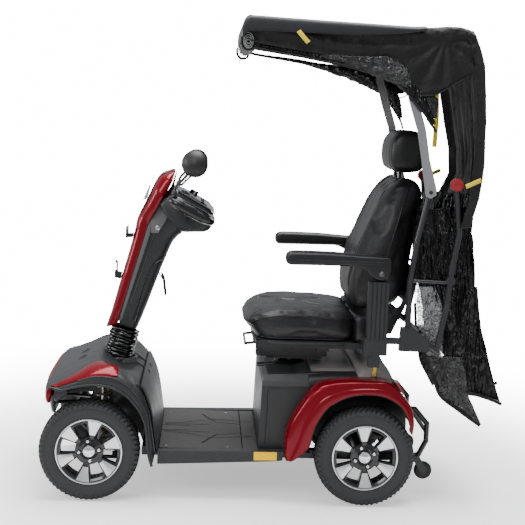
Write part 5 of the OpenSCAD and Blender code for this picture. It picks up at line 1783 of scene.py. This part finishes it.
def curtain():
    """Black back cloth, crinkled film below it and the film flaps beside the frame."""
    cloth = back_sheet("curtain_back", FAR_EDGE, lambda v: 1.562,
                       lambda v: 0.940 + 0.012 * math.sin(7 * v), 0.331, 240, 90, 0.0085, 21,
                       1.3, 0.25, 0.05)
    as_cloth(cloth, "cloth", 240, 90)
    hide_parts("canopy_curtain")
    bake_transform(cloth)
    film = back_sheet("curtain_film", FILM_FAR_EDGE, lambda v: 1.030 - 0.012 * v,
                      lambda v: (0.395 + 0.03 * math.sin(5 * v + 1)
                                 - 0.06 * max(0, -v) ** 2),
                      0.284, 280, 150, 0.010, 27, 4.1, 1.1)
    as_cloth(film, "film_dark", 280, 150)
    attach(film, "seat")
    hem_line = [(along(0.400, REAR_EDGE) * (1 - f) + along(0.400, FILM_FAR_EDGE) * f - 0.006,
                 -0.284 + 0.568 * f, 0.397 + 0.03 * math.sin(5 * (2 * f - 1) + 1))
                for f in np.linspace(0, 1, 50)]
    cord("curtain_hem", hem_line, 0.0055, "seat", "hem")
    upper = ([(0.452, 0.985), (0.440, 0.900), (0.446, 0.810), (0.470, 0.735)],
             [(0.640, 1.005), (0.632, 0.900), (0.640, 0.810), (0.655, 0.735)])
    clear = ([(0.462, 0.735), (0.466, 0.660), (0.476, 0.590), (0.498, 0.500)],
             [(0.520, 0.735), (0.545, 0.680), (0.548, 0.620), (0.560, 0.500)])
    rear = ([(0.510, 0.740), (0.540, 0.640), (0.555, 0.540), (0.590, 0.450),
             (0.641, 0.378)],
            [(0.662, 0.740), (0.678, 0.630), (0.702, 0.540), (0.728, 0.450),
             (0.762, 0.352)])
    low = ([(0.498, 0.505), (0.530, 0.437), (0.556, 0.374), (0.625, 0.322), (0.694, 0.275)],
           [(0.620, 0.505), (0.640, 0.440), (0.648, 0.385), (0.672, 0.335), (0.699, 0.279)])
    for tag, side in SIDES:
        gather = 1.0 if side < 0 else 0.4
        pieces = (("flap_upper_", upper, 0.272, "film_dark", 90, 80, 2.0),
                  ("flap_clear_", clear, 0.280, "film_clear", 60, 80, 5.0),
                  ("flap_rear_", rear, 0.276, "film_dark", 80, 110, 11.0),
                  ("flap_lower_", low, 0.284, "film_sparkle", 60, 90, 8.0))
        for name, edges, y, mat, columns, layers, seed in pieces:
            edges = [gathered(line, gather) for line in edges]
            flap = side_flap(name + tag, side, edges, y, columns, layers, seed, 0.012)
            as_cloth(flap, mat, columns, layers)
            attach(flap, "seat")
        line = [(x, side * 0.290, z) for x, z in gathered(clear[0][-2:] + low[0][1:], gather)]
        cord("flap_hem_" + tag, smooth_line(line, 60), 0.0052, "seat", "hem")
        if side < 0:
            tip = [(0.640, -0.288, 0.388), (0.690, -0.290, 0.376), (0.735, -0.292, 0.362),
                   (0.762, -0.292, 0.350)]
            cord("curtain_tip", smooth_line(tip, 30), 0.0060, "seat", "hem")
        strap("curtain_strap_" + tag,
              [(0.592, side * 0.3345, 1.070), (0.606, side * 0.3350, 1.076),
               (0.622, side * 0.3350, 1.084), (0.640, side * 0.3330, 1.092)],
              0.014, "seat", (-0.3, 0, 1))


def canopy_hardware():
    """Fluted knobs on the canopy frame and the strap that hangs inside it."""
    low_y, high_y = 0.2865, 0.3135
    for tag, side in SIDES:
        rim = []
        for a in turns(72):
            r = 0.0208 + 0.0007 * math.cos(18 * a)
            rim.append([(0.570 + k * r * math.cos(a), side * y, 1.072 + k * r * math.sin(a))
                        for k, y in ((0.0, low_y), (0.92, low_y), (1.0, low_y + 0.003),
                                     (1.0, high_y - 0.003), (0.92, high_y),
                                     (0.45, high_y + 0.0006), (0.40, high_y - 0.001),
                                     (0.0, high_y - 0.001))])
        knob = grid("frame_knob_" + tag, rim, wrap_u=True)
        fix_normals(knob)
        sharp_by_angle(knob, 40)
        done(knob, "seat", "knob")
    strap("inner_strap", [(0.500, -0.235, 1.420), (0.500, -0.236, 1.370),
                          (0.504, -0.235, 1.290), (0.502, -0.234, 1.190)],
          0.016, "canopy", (1, 0.2, 0))


# ---------------------------------------------------------------- build
camera()
floor()
lighting()
wheels()
cowl()
cowl_panels()
nose()
arch_shade_walls()
rear_arches()
seat_box()
rear_cover()
deck()
cad_parts()
suspension()
tiller()
gaiter()
console()
grips()
mirrors()
seat()
backrest()
head_rest()
armrests()
roof()
canopy_film()
curtain()
canopy_hardware()
